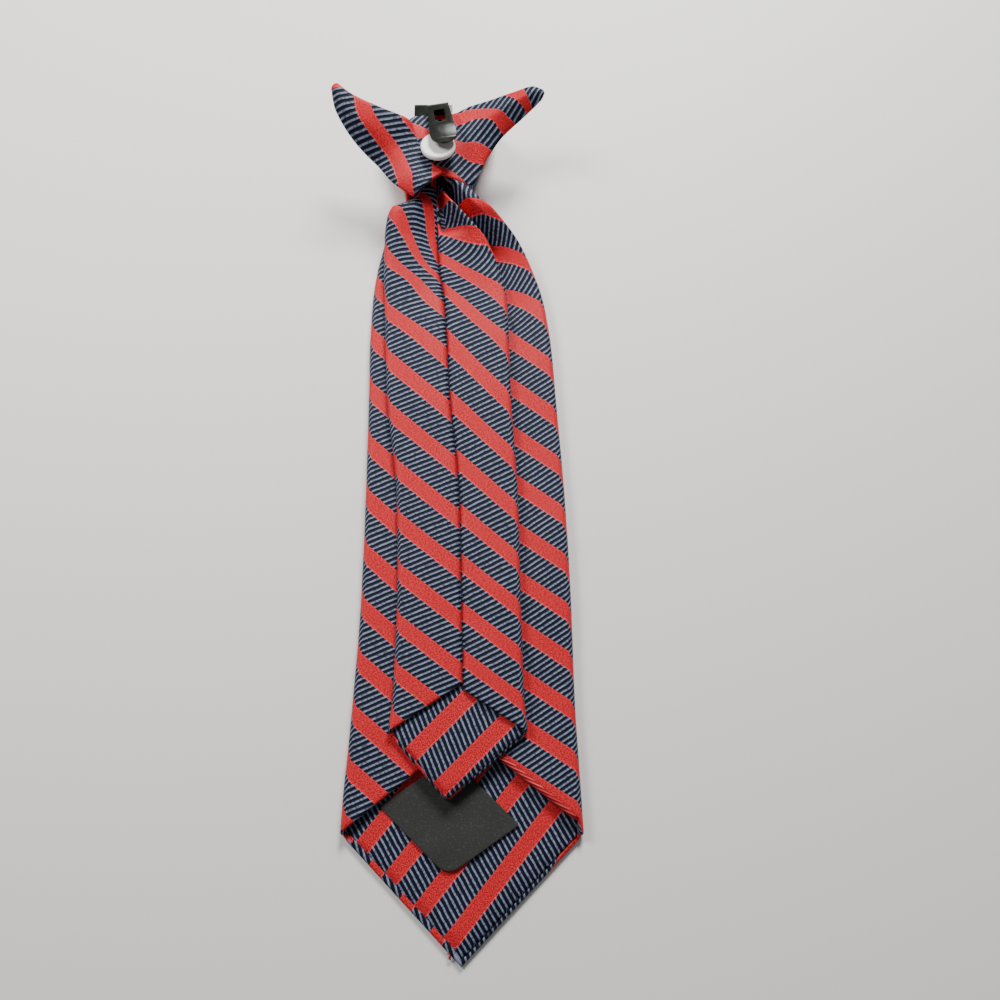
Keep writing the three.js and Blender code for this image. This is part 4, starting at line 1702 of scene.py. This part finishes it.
def stitch_tree() -> bpy.types.GeometryNodeTree:
    """Builds the tree that lays thread stitches along a line at an even distance.

    Returns:
        The tree, whose inputs are the spacing, the stitch's length, radius and lean, and the thread.
    """
    tree = bpy.data.node_groups.new("stitch row", "GeometryNodeTree")
    sockets = tree.interface.new_socket
    sockets("Geometry", in_out="INPUT", socket_type="NodeSocketGeometry")
    for name in ("Spacing", "Length", "Radius", "Lean"):
        sockets(name, in_out="INPUT", socket_type="NodeSocketFloat")
    sockets("Thread", in_out="INPUT", socket_type="NodeSocketMaterial")
    sockets("Geometry", in_out="OUTPUT", socket_type="NodeSocketGeometry")
    graph = Graph(tree)
    given = graph.node("NodeGroupInput").outputs
    curve = graph.node("GeometryNodeMeshToCurve", {"Mesh": given["Geometry"]}).outputs[0]
    line = {"Curve": curve, "Length": given["Spacing"]}
    even = graph.node("GeometryNodeResampleCurve", line, mode="LENGTH").outputs[0]
    bead = graph.node("GeometryNodeMeshUVSphere", {"Segments": 8, "Rings": 6, "Radius": 1.0}).outputs[0]
    sizes = {0: given["Length"], 1: given["Radius"], 2: given["Radius"]}
    size = graph.node("ShaderNodeCombineXYZ", sizes).outputs[0]
    angles = graph.node("ShaderNodeCombineXYZ", {2: given["Lean"]}).outputs[0]
    lean = graph.node("FunctionNodeEulerToRotation", {0: angles}).outputs[0]
    shape = {"Geometry": bead, "Scale": size, "Rotation": lean}
    shaped = graph.node("GeometryNodeTransform", shape).outputs[0]
    tangent = graph.node("GeometryNodeInputTangent").outputs[0]
    turn = graph.node("FunctionNodeAlignRotationToVector", {"Vector": tangent}, axis="X").outputs[0]
    places = {"Points": even, "Instance": shaped, "Rotation": turn}
    placed = graph.node("GeometryNodeInstanceOnPoints", places).outputs[0]
    real = graph.node("GeometryNodeRealizeInstances", {0: placed}).outputs[0]
    smooth = graph.node("GeometryNodeSetShadeSmooth", {"Geometry": real}).outputs[0]
    finished = graph.node("GeometryNodeSetMaterial", {"Geometry": smooth, "Material": given["Thread"]})
    graph.node("NodeGroupOutput", {0: finished.outputs[0]})
    return tree


@dataclass
class StitchRow:
    """A row of stitches along a line, with their distance, sizes and lean in degrees."""

    name: str
    path: Sequence[Vector]
    spacing: float = 2.2
    length: float = 0.9
    radius: float = 0.13
    lean: float = 0.0

    def build(
        self, place: Place, tree: bpy.types.GeometryNodeTree, thread: bpy.types.Material
    ) -> bpy.types.Object:
        """Builds the stitches and keeps them as a plain mesh.

        Args:
            place: The place of the drawing in the frame.
            tree: The tree that lays the stitches.
            thread: The thread's material.

        Returns:
            The stitches' object.
        """
        mesh = bpy.data.meshes.new(self.name)
        edges = [(i, i + 1) for i in range(len(self.path) - 1)]
        mesh.from_pydata([place.point(*point) for point in self.path], edges, [])
        piece = add_object(self.name, mesh)
        modifier = piece.modifiers.new("stitches", "NODES")
        modifier.node_group = tree
        values = {
            "Spacing": self.spacing * MM,
            "Length": self.length / 2 * MM,
            "Radius": self.radius * MM,
            "Lean": math.radians(self.lean),
            "Thread": thread,
        }
        for item in tree.interface.items_tree:
            if item.in_out == "INPUT" and item.name in values:
                modifier[item.identifier] = values[item.name]
        made = piece.evaluated_get(bpy.context.evaluated_depsgraph_get())
        plain = bpy.data.meshes.new_from_object(made)
        piece.modifiers.clear()
        piece.data = plain
        return piece


@dataclass
class Stitching:
    """Where the rows of stitches run: along both hems of the blade's point and over the tail's seam."""

    blade: Blade
    tail: Tail
    left_inset: float = 3.3
    right_inset: float = 2.3
    hem_start: float = 0.06
    hem_end: float = 0.97
    hem_height: float = 1.95
    hem_steps: int = 40
    seam_start: float = 83
    seam_end: float = 205
    seam_shift: float = 0.12
    seam_side: float = 0.6
    seam_sink: float = 0.15
    seam_steps: int = 80

    def hem(self, corner: float, inset: float) -> list[Vector]:
        """Lays out the line of stitches along one hem of the blade's point.

        Args:
            corner: The X of the blade's corner.
            inset: How far the line lies up from the edge.

        Returns:
            The points of the line.
        """
        blade = self.blade
        path = []
        for step in range(self.hem_steps + 1):
            share = mix(self.hem_start, self.hem_end, step / self.hem_steps)
            x = mix(blade.tip_x, corner, share)
            y = mix(blade.tip_y, blade.corner_y, share) + inset
            path.append(Vector((x, y, self.hem_height)))
        return path

    def seam(self) -> list[Vector]:
        """Lays out the line of stitches along the tail's seam.

        Returns:
            The points of the line.
        """
        path = []
        for step in range(self.seam_steps + 1):
            y = mix(self.seam_start, self.seam_end, step / self.seam_steps)
            x = self.tail.form.section(y)["seam"] + self.seam_shift
            path.append(Vector((x, y, self.tail.top(x - self.seam_side, y, Side.LEFT) - self.seam_sink)))
        return path

    def rows(self) -> list[StitchRow]:
        """Lays out all rows.

        Returns:
            The rows.
        """
        left, right, _, _ = self.blade.edges(self.blade.corner_y)
        return [
            StitchRow("hem_stitches_left", self.hem(left, self.left_inset), lean=35),
            StitchRow("hem_stitches_right", self.hem(right, self.right_inset), lean=35),
            StitchRow("seam_stitches", self.seam(), spacing=7.5, length=1.3, radius=0.12, lean=65),
        ]


@dataclass
class CareLabel(ClothPiece):
    """A bare woven label with one round corner, partly under the tail and the left flap."""

    name: str = "care_label_tape"
    node: str = "care_label"
    width: float = 25.6
    height: float = 27.5
    corner: float = 4.0
    small_corner: float = 0.8
    turn: float = 34
    skew: float = 0.22
    left: float = -9.3
    low: float = 21.3
    level: float = 2.75
    cloth: float = 0.5
    edge: float = 0.12
    lies_flat: bool = True
    curl: float = 0.5
    wave: Wave = Wave(0.5, 0.11, 0.11, 5.0)
    cells: int = 40

    def spot(self, u: float, v: float) -> Spot:
        """Returns a spot of the label, drawn in at its corners.

        Args:
            u: The share across the label.
            v: The share up the label.

        Returns:
            The spot.
        """
        across, up = u * self.width, v * self.height
        r = self.corner if u < 0.5 and v < 0.5 else self.small_corner
        from_side = min(across, self.width - across)
        from_end = min(up, self.height - up)
        if from_side < r and from_end < r:
            dx, dy = r - from_side, r - from_end
            reach = max(dx, dy)
            scale = reach / math.hypot(dx, dy) if reach > 0 else 1
            from_side, from_end = r - dx * scale, r - dy * scale
            across = from_side if u < 0.5 else self.width - from_side
            up = from_end if v < 0.5 else self.height - from_end
        across += self.skew * (self.height - up)
        angle = math.radians(self.turn)
        x = self.left + across * math.cos(angle) - up * math.sin(angle)
        y = self.low + across * math.sin(angle) + up * math.cos(angle)
        return Spot(x, y, self.level + self.curl * (1 - v) ** 2 + self.wave.rise(x, y))

    def finish(self, finishes: Finishes) -> bpy.types.Material:
        """Returns the label's finish."""
        return finishes.label

    def fill(self, mesh: ClothMesh) -> None:
        """Adds the label's rows."""
        mesh.grid(spot_rows(self.spot, self.cells, self.cells))


@dataclass
class Knot(ClothPiece):
    """The knot's sleeve of cloth round the gathered neck, flat on the table."""

    form: TieForm
    name: str = "knot_cloth"
    node: str = "knot_wrap"
    middle: float = -8.3
    length: float = 32
    bottom_width: float = 20
    top_width: float = 36
    bottom_shift: float = -1.6
    depth: float = 15.5
    mouth_slant: float = 8
    top_slant: float = 4.5
    corner: float = 5
    cloth: float = 1.3
    fold: Wave = Wave(0.35, 1, 0.12, 2.2)
    fold_across: float = 0.09
    fold_along: float = 0.06
    mouth_round: float = 0.8
    mouth_share: float = 0.04
    dome: float = 1.2
    dome_sink: float = 0.5
    dome_rings: tuple[float, ...] = (0.97, 0.9, 0.75, 0.5)
    around: int = 84
    rows: int = 34
    weave: Weave = Weave(0.25, 0.062, 0.05)

    def spot(self, turn: float, along: float) -> Spot:
        """Returns a spot of the sleeve.

        Args:
            turn: The share round the sleeve from the middle of its back.
            along: The share from the mouth to the top.

        Returns:
            The spot.
        """
        half = mix(self.bottom_width, self.top_width, along) / 2
        x, z, reach = self.ring(turn, half, self.depth)
        x += self.bottom_shift * (1 - along)
        height = z / self.depth
        start = self.form.blade_length + self.mouth_slant * height
        end = self.form.blade_length + self.length - self.top_slant * height
        y = mix(start, end, along)
        strength = math.sin(math.pi * min(height * 4, 0.5))
        fold = self.fold.rise(x * self.fold_across + y * self.fold_along, z) * strength
        rounded = self.mouth_round * (ease(along, 0, self.mouth_share) - 1)
        out = Vector((x - self.middle, z - self.depth / 2)).normalized()
        x += out.x * (fold + rounded)
        z += out.y * (fold + rounded) if height > 0.02 else 0
        return Spot(x, y, max(z, 0), self.weave.stripe(-reach, y), self.weave.rib(-reach, y))

    def ring(self, turn: float, half: float, depth: float) -> tuple[float, float, float]:
        """Walks round the rounded section from the middle of its back.

        Args:
            turn: The share of the way round.
            half: Half the section's width.
            depth: The section's height.

        Returns:
            X, Z and the distance walked.
        """
        r = self.corner
        flat, upright, arc = 2 * (half - r), depth - 2 * r, math.pi * r / 2
        lengths = (flat / 2, arc, upright, arc, flat, arc, upright, arc, flat / 2)
        walked = turn * sum(lengths)
        left = walked
        for part, size in enumerate(lengths):
            if left <= size or part == len(lengths) - 1:
                break
            left -= size
        share = min(left / size, 1.0)
        angle = math.pi / 2 * share
        low, high = r, depth - r
        inner = half - r
        places = (
            (inner * share, depth),
            (inner + r * math.sin(angle), high + r * math.cos(angle)),
            (half, mix(high, low, share)),
            (inner + r * math.cos(angle), low - r * math.sin(angle)),
            (mix(inner, -inner, share), 0.0),
            (-inner - r * math.sin(angle), low - r * math.cos(angle)),
            (-half, mix(low, high, share)),
            (-inner - r * math.cos(angle), high + r * math.sin(angle)),
            (-inner * (1 - share), depth),
        )
        x, z = places[part]
        return self.middle + x, z, walked

    def fill(self, mesh: ClothMesh) -> None:
        """Adds the sleeve, open at its mouth, and the dome that closes its top.

        Args:
            mesh: The mesh to add to.
        """
        rows = spot_rows(self.spot, self.around, self.rows)
        mesh.grid(rows)
        rim = [self.relaid(spot) for spot in rows[-1]]
        rings = [rim]
        for step in self.dome_rings:
            rise = math.sqrt(1 - step * step) * self.dome
            rings.append([self.drawn_in(spot, step, rise) for spot in rim])
        mesh.grid(rings)
        mesh.fan(rings[-1], self.drawn_in(rim[0], 0, self.dome))

    def relaid(self, spot: Spot) -> Spot:
        """Returns a spot with the counts of the closed top, whose cloth lies flat across it."""
        return spot._replace(stripe=self.weave.stripe(spot.x, spot.z), rib=self.weave.rib(spot.x, spot.z))

    def drawn_in(self, spot: Spot, step: float, rise: float) -> Spot:
        """Draws a spot of the rim in to the middle of the knot's top.

        Args:
            spot: The rim's spot.
            step: The share of its distance from the middle that stays.
            rise: How far the top rises there.

        Returns:
            The spot on the top.
        """
        x = mix(self.middle, spot.x, step)
        z = mix(self.depth / 2, spot.z, step)
        start = self.form.blade_length + self.length - self.top_slant * z / self.depth
        return self.relaid(Spot(x, start + rise - self.dome_sink, z))


@dataclass
class Wing(ClothPiece):
    """A wing of folded cloth that goes under the collar: a strip with a crowned face and rounded sides."""

    name: str
    node: str
    rows: Table
    root: float
    rib_angle: float
    crest: float = 0.5
    rib_pitch: float = 1.55
    middle: float = -8.3
    start: float = 234.5
    length: float = 32
    reach: float = 34.5
    lift: float = 10
    root_thickness: float = 1.4
    tip_thickness: float = 2.6
    closing: float = 0.8
    crowning: float = 0.45
    falling: float = 1.15
    groove: float = 0.16
    groove_width: float = 1.5
    ruffle: float = 0.3
    ruffle_pace: float = 0.15
    round_tip: tuple[tuple[float, float], ...] = ((0.0, 0.35), (0.008, 0.7), (0.02, 0.9))
    stations: int = 56
    face: int = 22

    def ring(self, row: dict[str, float], shrink: float) -> list[Spot]:
        """Builds a ring round the wing at one row.

        Args:
            row: The row's edges, lift and stripes.
            shrink: How much the ring closes, for the round tip.

        Returns:
            The ring's spots, the last on the first.
        """
        outer = (self.middle + row["outer_x"] * self.reach, self.start + row["outer_y"] * self.length)
        inner = (self.middle + row["inner_x"] * self.reach, self.start + row["inner_y"] * self.length)
        lift, steepness = max(row["lift"], 0), max(row["drop"], 0) * self.lift
        thickness = mix(self.root_thickness, self.tip_thickness, min(lift, 1))
        width = 1 - (1 - shrink) * self.closing
        ruffle = Wave(self.ruffle, self.ruffle_pace, self.ruffle_pace, self.root)
        ring = []
        for side in (1, -1):
            for step in range(self.face + 1):
                from_outer = step if side > 0 else self.face - step
                share = (1 - math.cos(math.pi * step / self.face)) / 2
                if side < 0:
                    share = 1 - share
                at = 0.5 + (share - 0.5) * width
                crown = math.sin(math.acos(clamp(2 * share - 1, -1))) ** self.crowning
                drop = steepness * max(1 - share / self.crest, 0) ** self.falling
                groove = self.groove * math.exp(-(from_outer**2) / self.groove_width)
                middle = self.root + lift * self.lift + thickness / 2 - drop
                x, y = mix(outer[0], inner[0], at), mix(outer[1], inner[1], at)
                swell = side * max(crown - groove, 0) * thickness / 2 * shrink
                z = middle + swell + ruffle.rise(x, y, lift)
                ring.append(Spot(x, y, z, self.stripe(row, share), self.rib(x, y, side)))
        return ring

    def stripe(self, row: dict[str, float], share: float) -> float:
        """Finds the count of stripes across a row, from its outer, middle and inner values.

        Args:
            row: The row's values.
            share: The place across, from the outer side to the inner one.

        Returns:
            The count of stripes.
        """
        a, b, c = row["stripe_outer"], row["stripe_middle"], row["stripe_inner"]
        first, last = mix(a, b, 2 * share), mix(b, c, 2 * share - 1)
        return mix(first, last, ease(share, 0.2, 0.8))

    def rib(self, x: float, y: float, side: int) -> float:
        """Returns the count of ribs at a place on the upper or lower face."""
        angle = math.radians(self.rib_angle * side)
        return (math.cos(angle) * y - math.sin(angle) * x) / self.rib_pitch

    def fill(self, mesh: ClothMesh) -> None:
        """Adds the rings from the round tip to the root, and closes both ends.

        Args:
            mesh: The mesh to add to.
        """
        last = len(self.rows.rows) - 1
        rings = []
        for step, shrink in self.round_tip:
            rings.append(self.ring(self.rows.read(step * last), shrink))
        for station in range(1, self.stations + 1):
            rings.append(self.ring(self.rows.read(station / self.stations * last), 1))
        mesh.grid(rings)
        for ring in (rings[0], rings[-1]):
            mesh.fan(ring, self.hub(ring))

    def hub(self, ring: Sequence[Spot]) -> Spot:
        """Returns the middle of a ring."""
        count = len(ring)
        return Spot(*(sum(values) / count for values in zip(*ring)))


WING_COLUMNS = (
    "order", "outer_x", "outer_y", "inner_x", "inner_y", "lift", "drop",
    "stripe_outer", "stripe_middle", "stripe_inner",
)


def left_wing() -> Wing:
    """Draws up the left wing, whose root lies on the right wing's.

    Returns:
        The wing.
    """
    rows = (
        (0, -0.985, 0.950, -0.930, 0.985, 1.00, 0.05, 0.80, 0.75, 0.70),
        (1, -0.962, 0.790, -0.794, 0.891, 0.88, 0.12, 0.12, 0.38, 0.62),
        (2, -0.858, 0.590, -0.542, 0.800, 0.64, 0.22, 0.20, 0.70, 1.20),
        (3, -0.728, 0.440, -0.264, 0.709, 0.34, 0.26, 0.23, 0.93, 1.80),
        (4, -0.590, 0.320, -0.200, 0.531, 0.08, 0.26, 0.30, 0.88, 1.58),
        (5, -0.432, 0.120, -0.090, 0.347, 0.00, 0.16, 0.50, 1.00, 1.60),
        (6, -0.246, -0.020, 0.035, 0.213, 0.00, 0.22, 0.95, 1.45, 1.97),
    )
    table = Table(WING_COLUMNS, rows)
    return Wing("wing_left_cloth", "wing_left", table, root=18.5, rib_angle=15, crest=0.4)


def right_wing() -> Wing:
    """Draws up the right wing, whose root lies on the clip's plate.

    Returns:
        The wing.
    """
    rows = (
        (0, 0.955, 0.870, 0.982, 0.931, 1.00, 0.05, 0.10, 0.25, 0.40),
        (1, 0.907, 0.850, 0.843, 1.006, 0.87, 0.14, 0.30, 0.40, 0.50),
        (2, 0.745, 0.755, 0.658, 0.997, 0.60, 0.34, 1.45, 1.12, 0.85),
        (3, 0.585, 0.635, 0.481, 0.975, 0.36, 0.40, 2.05, 1.80, 1.20),
        (4, 0.450, 0.450, 0.281, 0.950, 0.15, 0.40, 2.80, 2.30, 1.45),
        (5, 0.290, 0.150, 0.100, 0.895, 0.00, 0.30, 3.50, 2.75, 1.60),
        (6, 0.100, 0.200, -0.240, 0.870, 0.00, 0.10, 3.80, 3.10, 2.30),
        (7, -0.240, 0.270, -0.360, 0.740, 0.00, 0.00, 3.80, 3.30, 2.80),
    )
    table = Table(WING_COLUMNS, rows)
    return Wing("wing_right_cloth", "wing_right", table, root=16.8, rib_angle=48, crest=0.55)


@dataclass
class Clip:
    """The spring clip: a steel strip bent into a hook, and the plastic pad under its end."""

    hook_name: str = "clip_hook_steel"
    hook_node: str = "clip_hook"
    pad_name: str = "clip_pad_plastic"
    pad_node: str = "clip_pad"
    pad_diameter: float = 11.2
    pad_thickness: float = 2
    pad_round: float = 0.85
    pad_tilt: float = 14
    pad_slide: float = 0.9
    pad_raise: float = 0.3
    dish: tuple[tuple[float, float], ...] = ((1.4, 0.05), (2.2, 0.16))
    round_steps: int = 5
    sides: int = 64
    steel_edge: float = 0.14
    merge: float = 0.005
    flat_angle: float = 1

    def build_hook(self, finishes: Finishes) -> bpy.types.Object:
        """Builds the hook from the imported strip, with its edges rounded.

        Args:
            finishes: The tie's finishes.

        Returns:
            The hook's object.
        """
        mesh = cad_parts[self.hook_node].data.copy()
        work = bmesh.new()
        work.from_mesh(mesh)
        bmesh.ops.remove_doubles(work, verts=work.verts, dist=self.merge * MM)
        flat = math.radians(self.flat_angle)
        bmesh.ops.dissolve_limit(work, angle_limit=flat, verts=work.verts, edges=work.edges)
        write_mesh(work, mesh, finishes.steel)
        piece = add_object(self.hook_name, mesh)
        bevel(piece, self.steel_edge, 3)
        return piece

    def build_pad(self, finishes: Finishes) -> bpy.types.Object:
        """Builds the round pad with soft edges and a shallow dish, tilted under the hook's end.

        Args:
            finishes: The tie's finishes.

        Returns:
            The pad's object.
        """
        low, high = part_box(self.pad_node)
        middle = Vector(((low[0] + high[0]) / 2, (low[1] + high[1]) / 2, low[2]))
        work = bmesh.new()
        points = [work.verts.new(middle + Vector((x, 0, z)) * MM) for x, z in self.pad_profile()]
        edges = [work.edges.new(pair) for pair in zip(points, points[1:])]
        geometry = [*points, *edges]
        bmesh.ops.spin(work, geom=geometry, cent=middle, axis=(0, 0, 1), angle=math.tau, steps=self.sides)
        centre = middle + Vector((0, 0, self.pad_thickness / 2 * MM))
        tilt = Matrix.Rotation(math.radians(-self.pad_tilt), 4, "X")
        slide = Matrix.Translation(centre + Vector((0, self.pad_slide, self.pad_raise)) * MM)
        bmesh.ops.transform(work, matrix=slide @ tilt @ Matrix.Translation(-centre), verts=work.verts)
        bmesh.ops.remove_doubles(work, verts=work.verts, dist=self.merge * MM)
        bmesh.ops.recalc_face_normals(work, faces=work.faces)
        mesh = bpy.data.meshes.new(self.pad_name)
        write_mesh(work, mesh, finishes.pad)
        return add_object(self.pad_name, mesh)

    def pad_profile(self) -> list[tuple[float, float]]:
        """Draws half of the pad's section, from the middle of its lower face to the middle of its dish.

        Returns:
            The distance from the axis and the height of each corner, in millimetres.
        """
        radius, r, top = self.pad_diameter / 2, self.pad_round, self.pad_thickness
        angles = [math.pi / 2 * step / self.round_steps for step in range(self.round_steps + 1)]
        lower = [(radius - r + r * math.sin(angle), r - r * math.cos(angle)) for angle in angles]
        upper = [(radius - r + r * math.cos(angle), top - r + r * math.sin(angle)) for angle in angles]
        dish = [(radius - inset, top - depth) for inset, depth in self.dish]
        return [(0.0, 0.0), *lower, *upper, *dish, (0.0, dish[-1][1])]


@dataclass(frozen=True)
class Lamp:
    """A square soft light that points at the tie, with its place and its side in metres and its watts."""

    name: str
    place: tuple[float, float, float]
    size: float
    power: float

    def build(self) -> None:
        """Hangs the light."""
        data = bpy.data.lights.new(self.name, "AREA")
        data.energy = self.power
        data.size = self.size
        lamp = add_object(self.name, data)
        lamp.location = self.place
        lamp.rotation_euler = (-Vector(self.place)).to_track_quat("-Z", "Y").to_euler()


@dataclass
class Studio:
    """The pale floor, the soft lights and the camera at the photograph's angle."""

    eye_x: float = 11.2
    eye_y: float = 71.4
    eye_height: float = 312
    tilt: float = 12
    lens: float = 36.036
    sensor: float = 36
    nearest: float = 0.01
    floor_size: float = 3.0
    floor_colour: Colour = (0.72, 0.70, 0.67, 1)
    floor_roughness: float = 0.6
    sky_colour: Colour = (0.93, 0.95, 1.0, 1)
    sky_strength: float = 0.24
    lamps: tuple[Lamp, ...] = (
        Lamp("window light", (0.10, 0.50, 0.42), 0.18, 7.0),
        Lamp("second window light", (-0.32, 0.26, 0.44), 0.20, 2.8),
    )

    def build(self, place: Place) -> None:
        """Builds the stage.

        Args:
            place: The place of the drawing in the frame.
        """
        scene = bpy.context.scene
        data = bpy.data.cameras.new("camera")
        data.sensor_width = self.sensor
        data.lens = self.lens
        data.clip_start = self.nearest
        camera = add_object("camera", data)
        camera.location = place.point(self.eye_x, self.eye_y, self.eye_height)
        camera.rotation_euler = (math.radians(self.tilt), 0, 0)
        scene.camera = camera
        self.build_floor()
        for lamp in self.lamps:
            lamp.build()
        world = bpy.data.worlds.new("studio")
        world.use_nodes = True
        background = world.node_tree.nodes["Background"]
        background.inputs["Color"].default_value = self.sky_colour
        background.inputs["Strength"].default_value = self.sky_strength
        scene.world = world

    def build_floor(self) -> None:
        """Builds the floor as one square."""
        mesh = bpy.data.meshes.new("floor")
        half = self.floor_size / 2
        corners = [(-half, -half, 0), (half, -half, 0), (half, half, 0), (-half, half, 0)]
        mesh.from_pydata(corners, [], [(0, 1, 2, 3)])
        material, graph, shader = new_material("pale floor")
        graph.fill(shader, {"Base Color": self.floor_colour, "Roughness": self.floor_roughness})
        mesh.materials.append(material)
        add_object("floor", mesh)


def hand_over(piece: bpy.types.Object, nodes: Sequence[str], slot: Slot) -> None:
    """Gives a finished piece its body, hides the CAD nodes that it stands for, and reports it.

    Args:
        piece: The finished piece.
        nodes: The CAD nodes that it stands for.
        slot: The record's material slot; it is not used.
    """
    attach(piece, BODY)
    if nodes:
        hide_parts(*nodes)
    LOG.info("%s: %d faces", piece.name, len(piece.data.polygons))


def main() -> None:
    """Builds the studio and then each piece of the tie."""
    logging.basicConfig(level=logging.INFO, format="%(name)s: %(message)s")
    place = Place.from_frame()
    Studio().build(place)
    finishes = Finishes.make()
    form = TieForm()
    blade, tail = Blade(form), Tail(form)
    for band, flat, area in ((blade, (0.150, 0.262), 0.0275), (tail, (0.094, 0.216), 0.0165)):
        piece = band.build(place, finishes)
        hand_over(piece, [band.node], Slot.CLOTH)
    linings = (blade_lining(blade), tail_lining(tail))
    for lining, flat, area in zip(linings, ((0.068, 0.078), (0.038, 0.041)), (0.0040, 0.0011)):
        piece = lining.build(place, finishes)
        hand_over(piece, [lining.node], Slot.CLOTH)
    for trim in (CordedEdge(blade), ThreadTuft()):
        hand_over(trim.build(place, finishes), [], Slot.CLOTH)
    tree = stitch_tree()
    for row in Stitching(blade, tail).rows():
        hand_over(row.build(place, tree, finishes.thread), [], Slot.CLOTH)
    label = CareLabel()
    piece = label.build(place, finishes)
    hand_over(piece, [label.node], Slot.LABEL)
    knot = Knot(form)
    piece = knot.build(place, finishes)
    hand_over(piece, [knot.node], Slot.CLOTH)
    for wing in (right_wing(), left_wing()):
        piece = wing.build(place, finishes)
        hand_over(piece, [wing.node], Slot.CLOTH)
    clip = Clip()
    hand_over(clip.build_hook(finishes), [clip.hook_node], Slot.STEEL)
    hand_over(clip.build_pad(finishes), [clip.pad_node], Slot.PLASTIC)


if __name__ == "__main__":
    main()
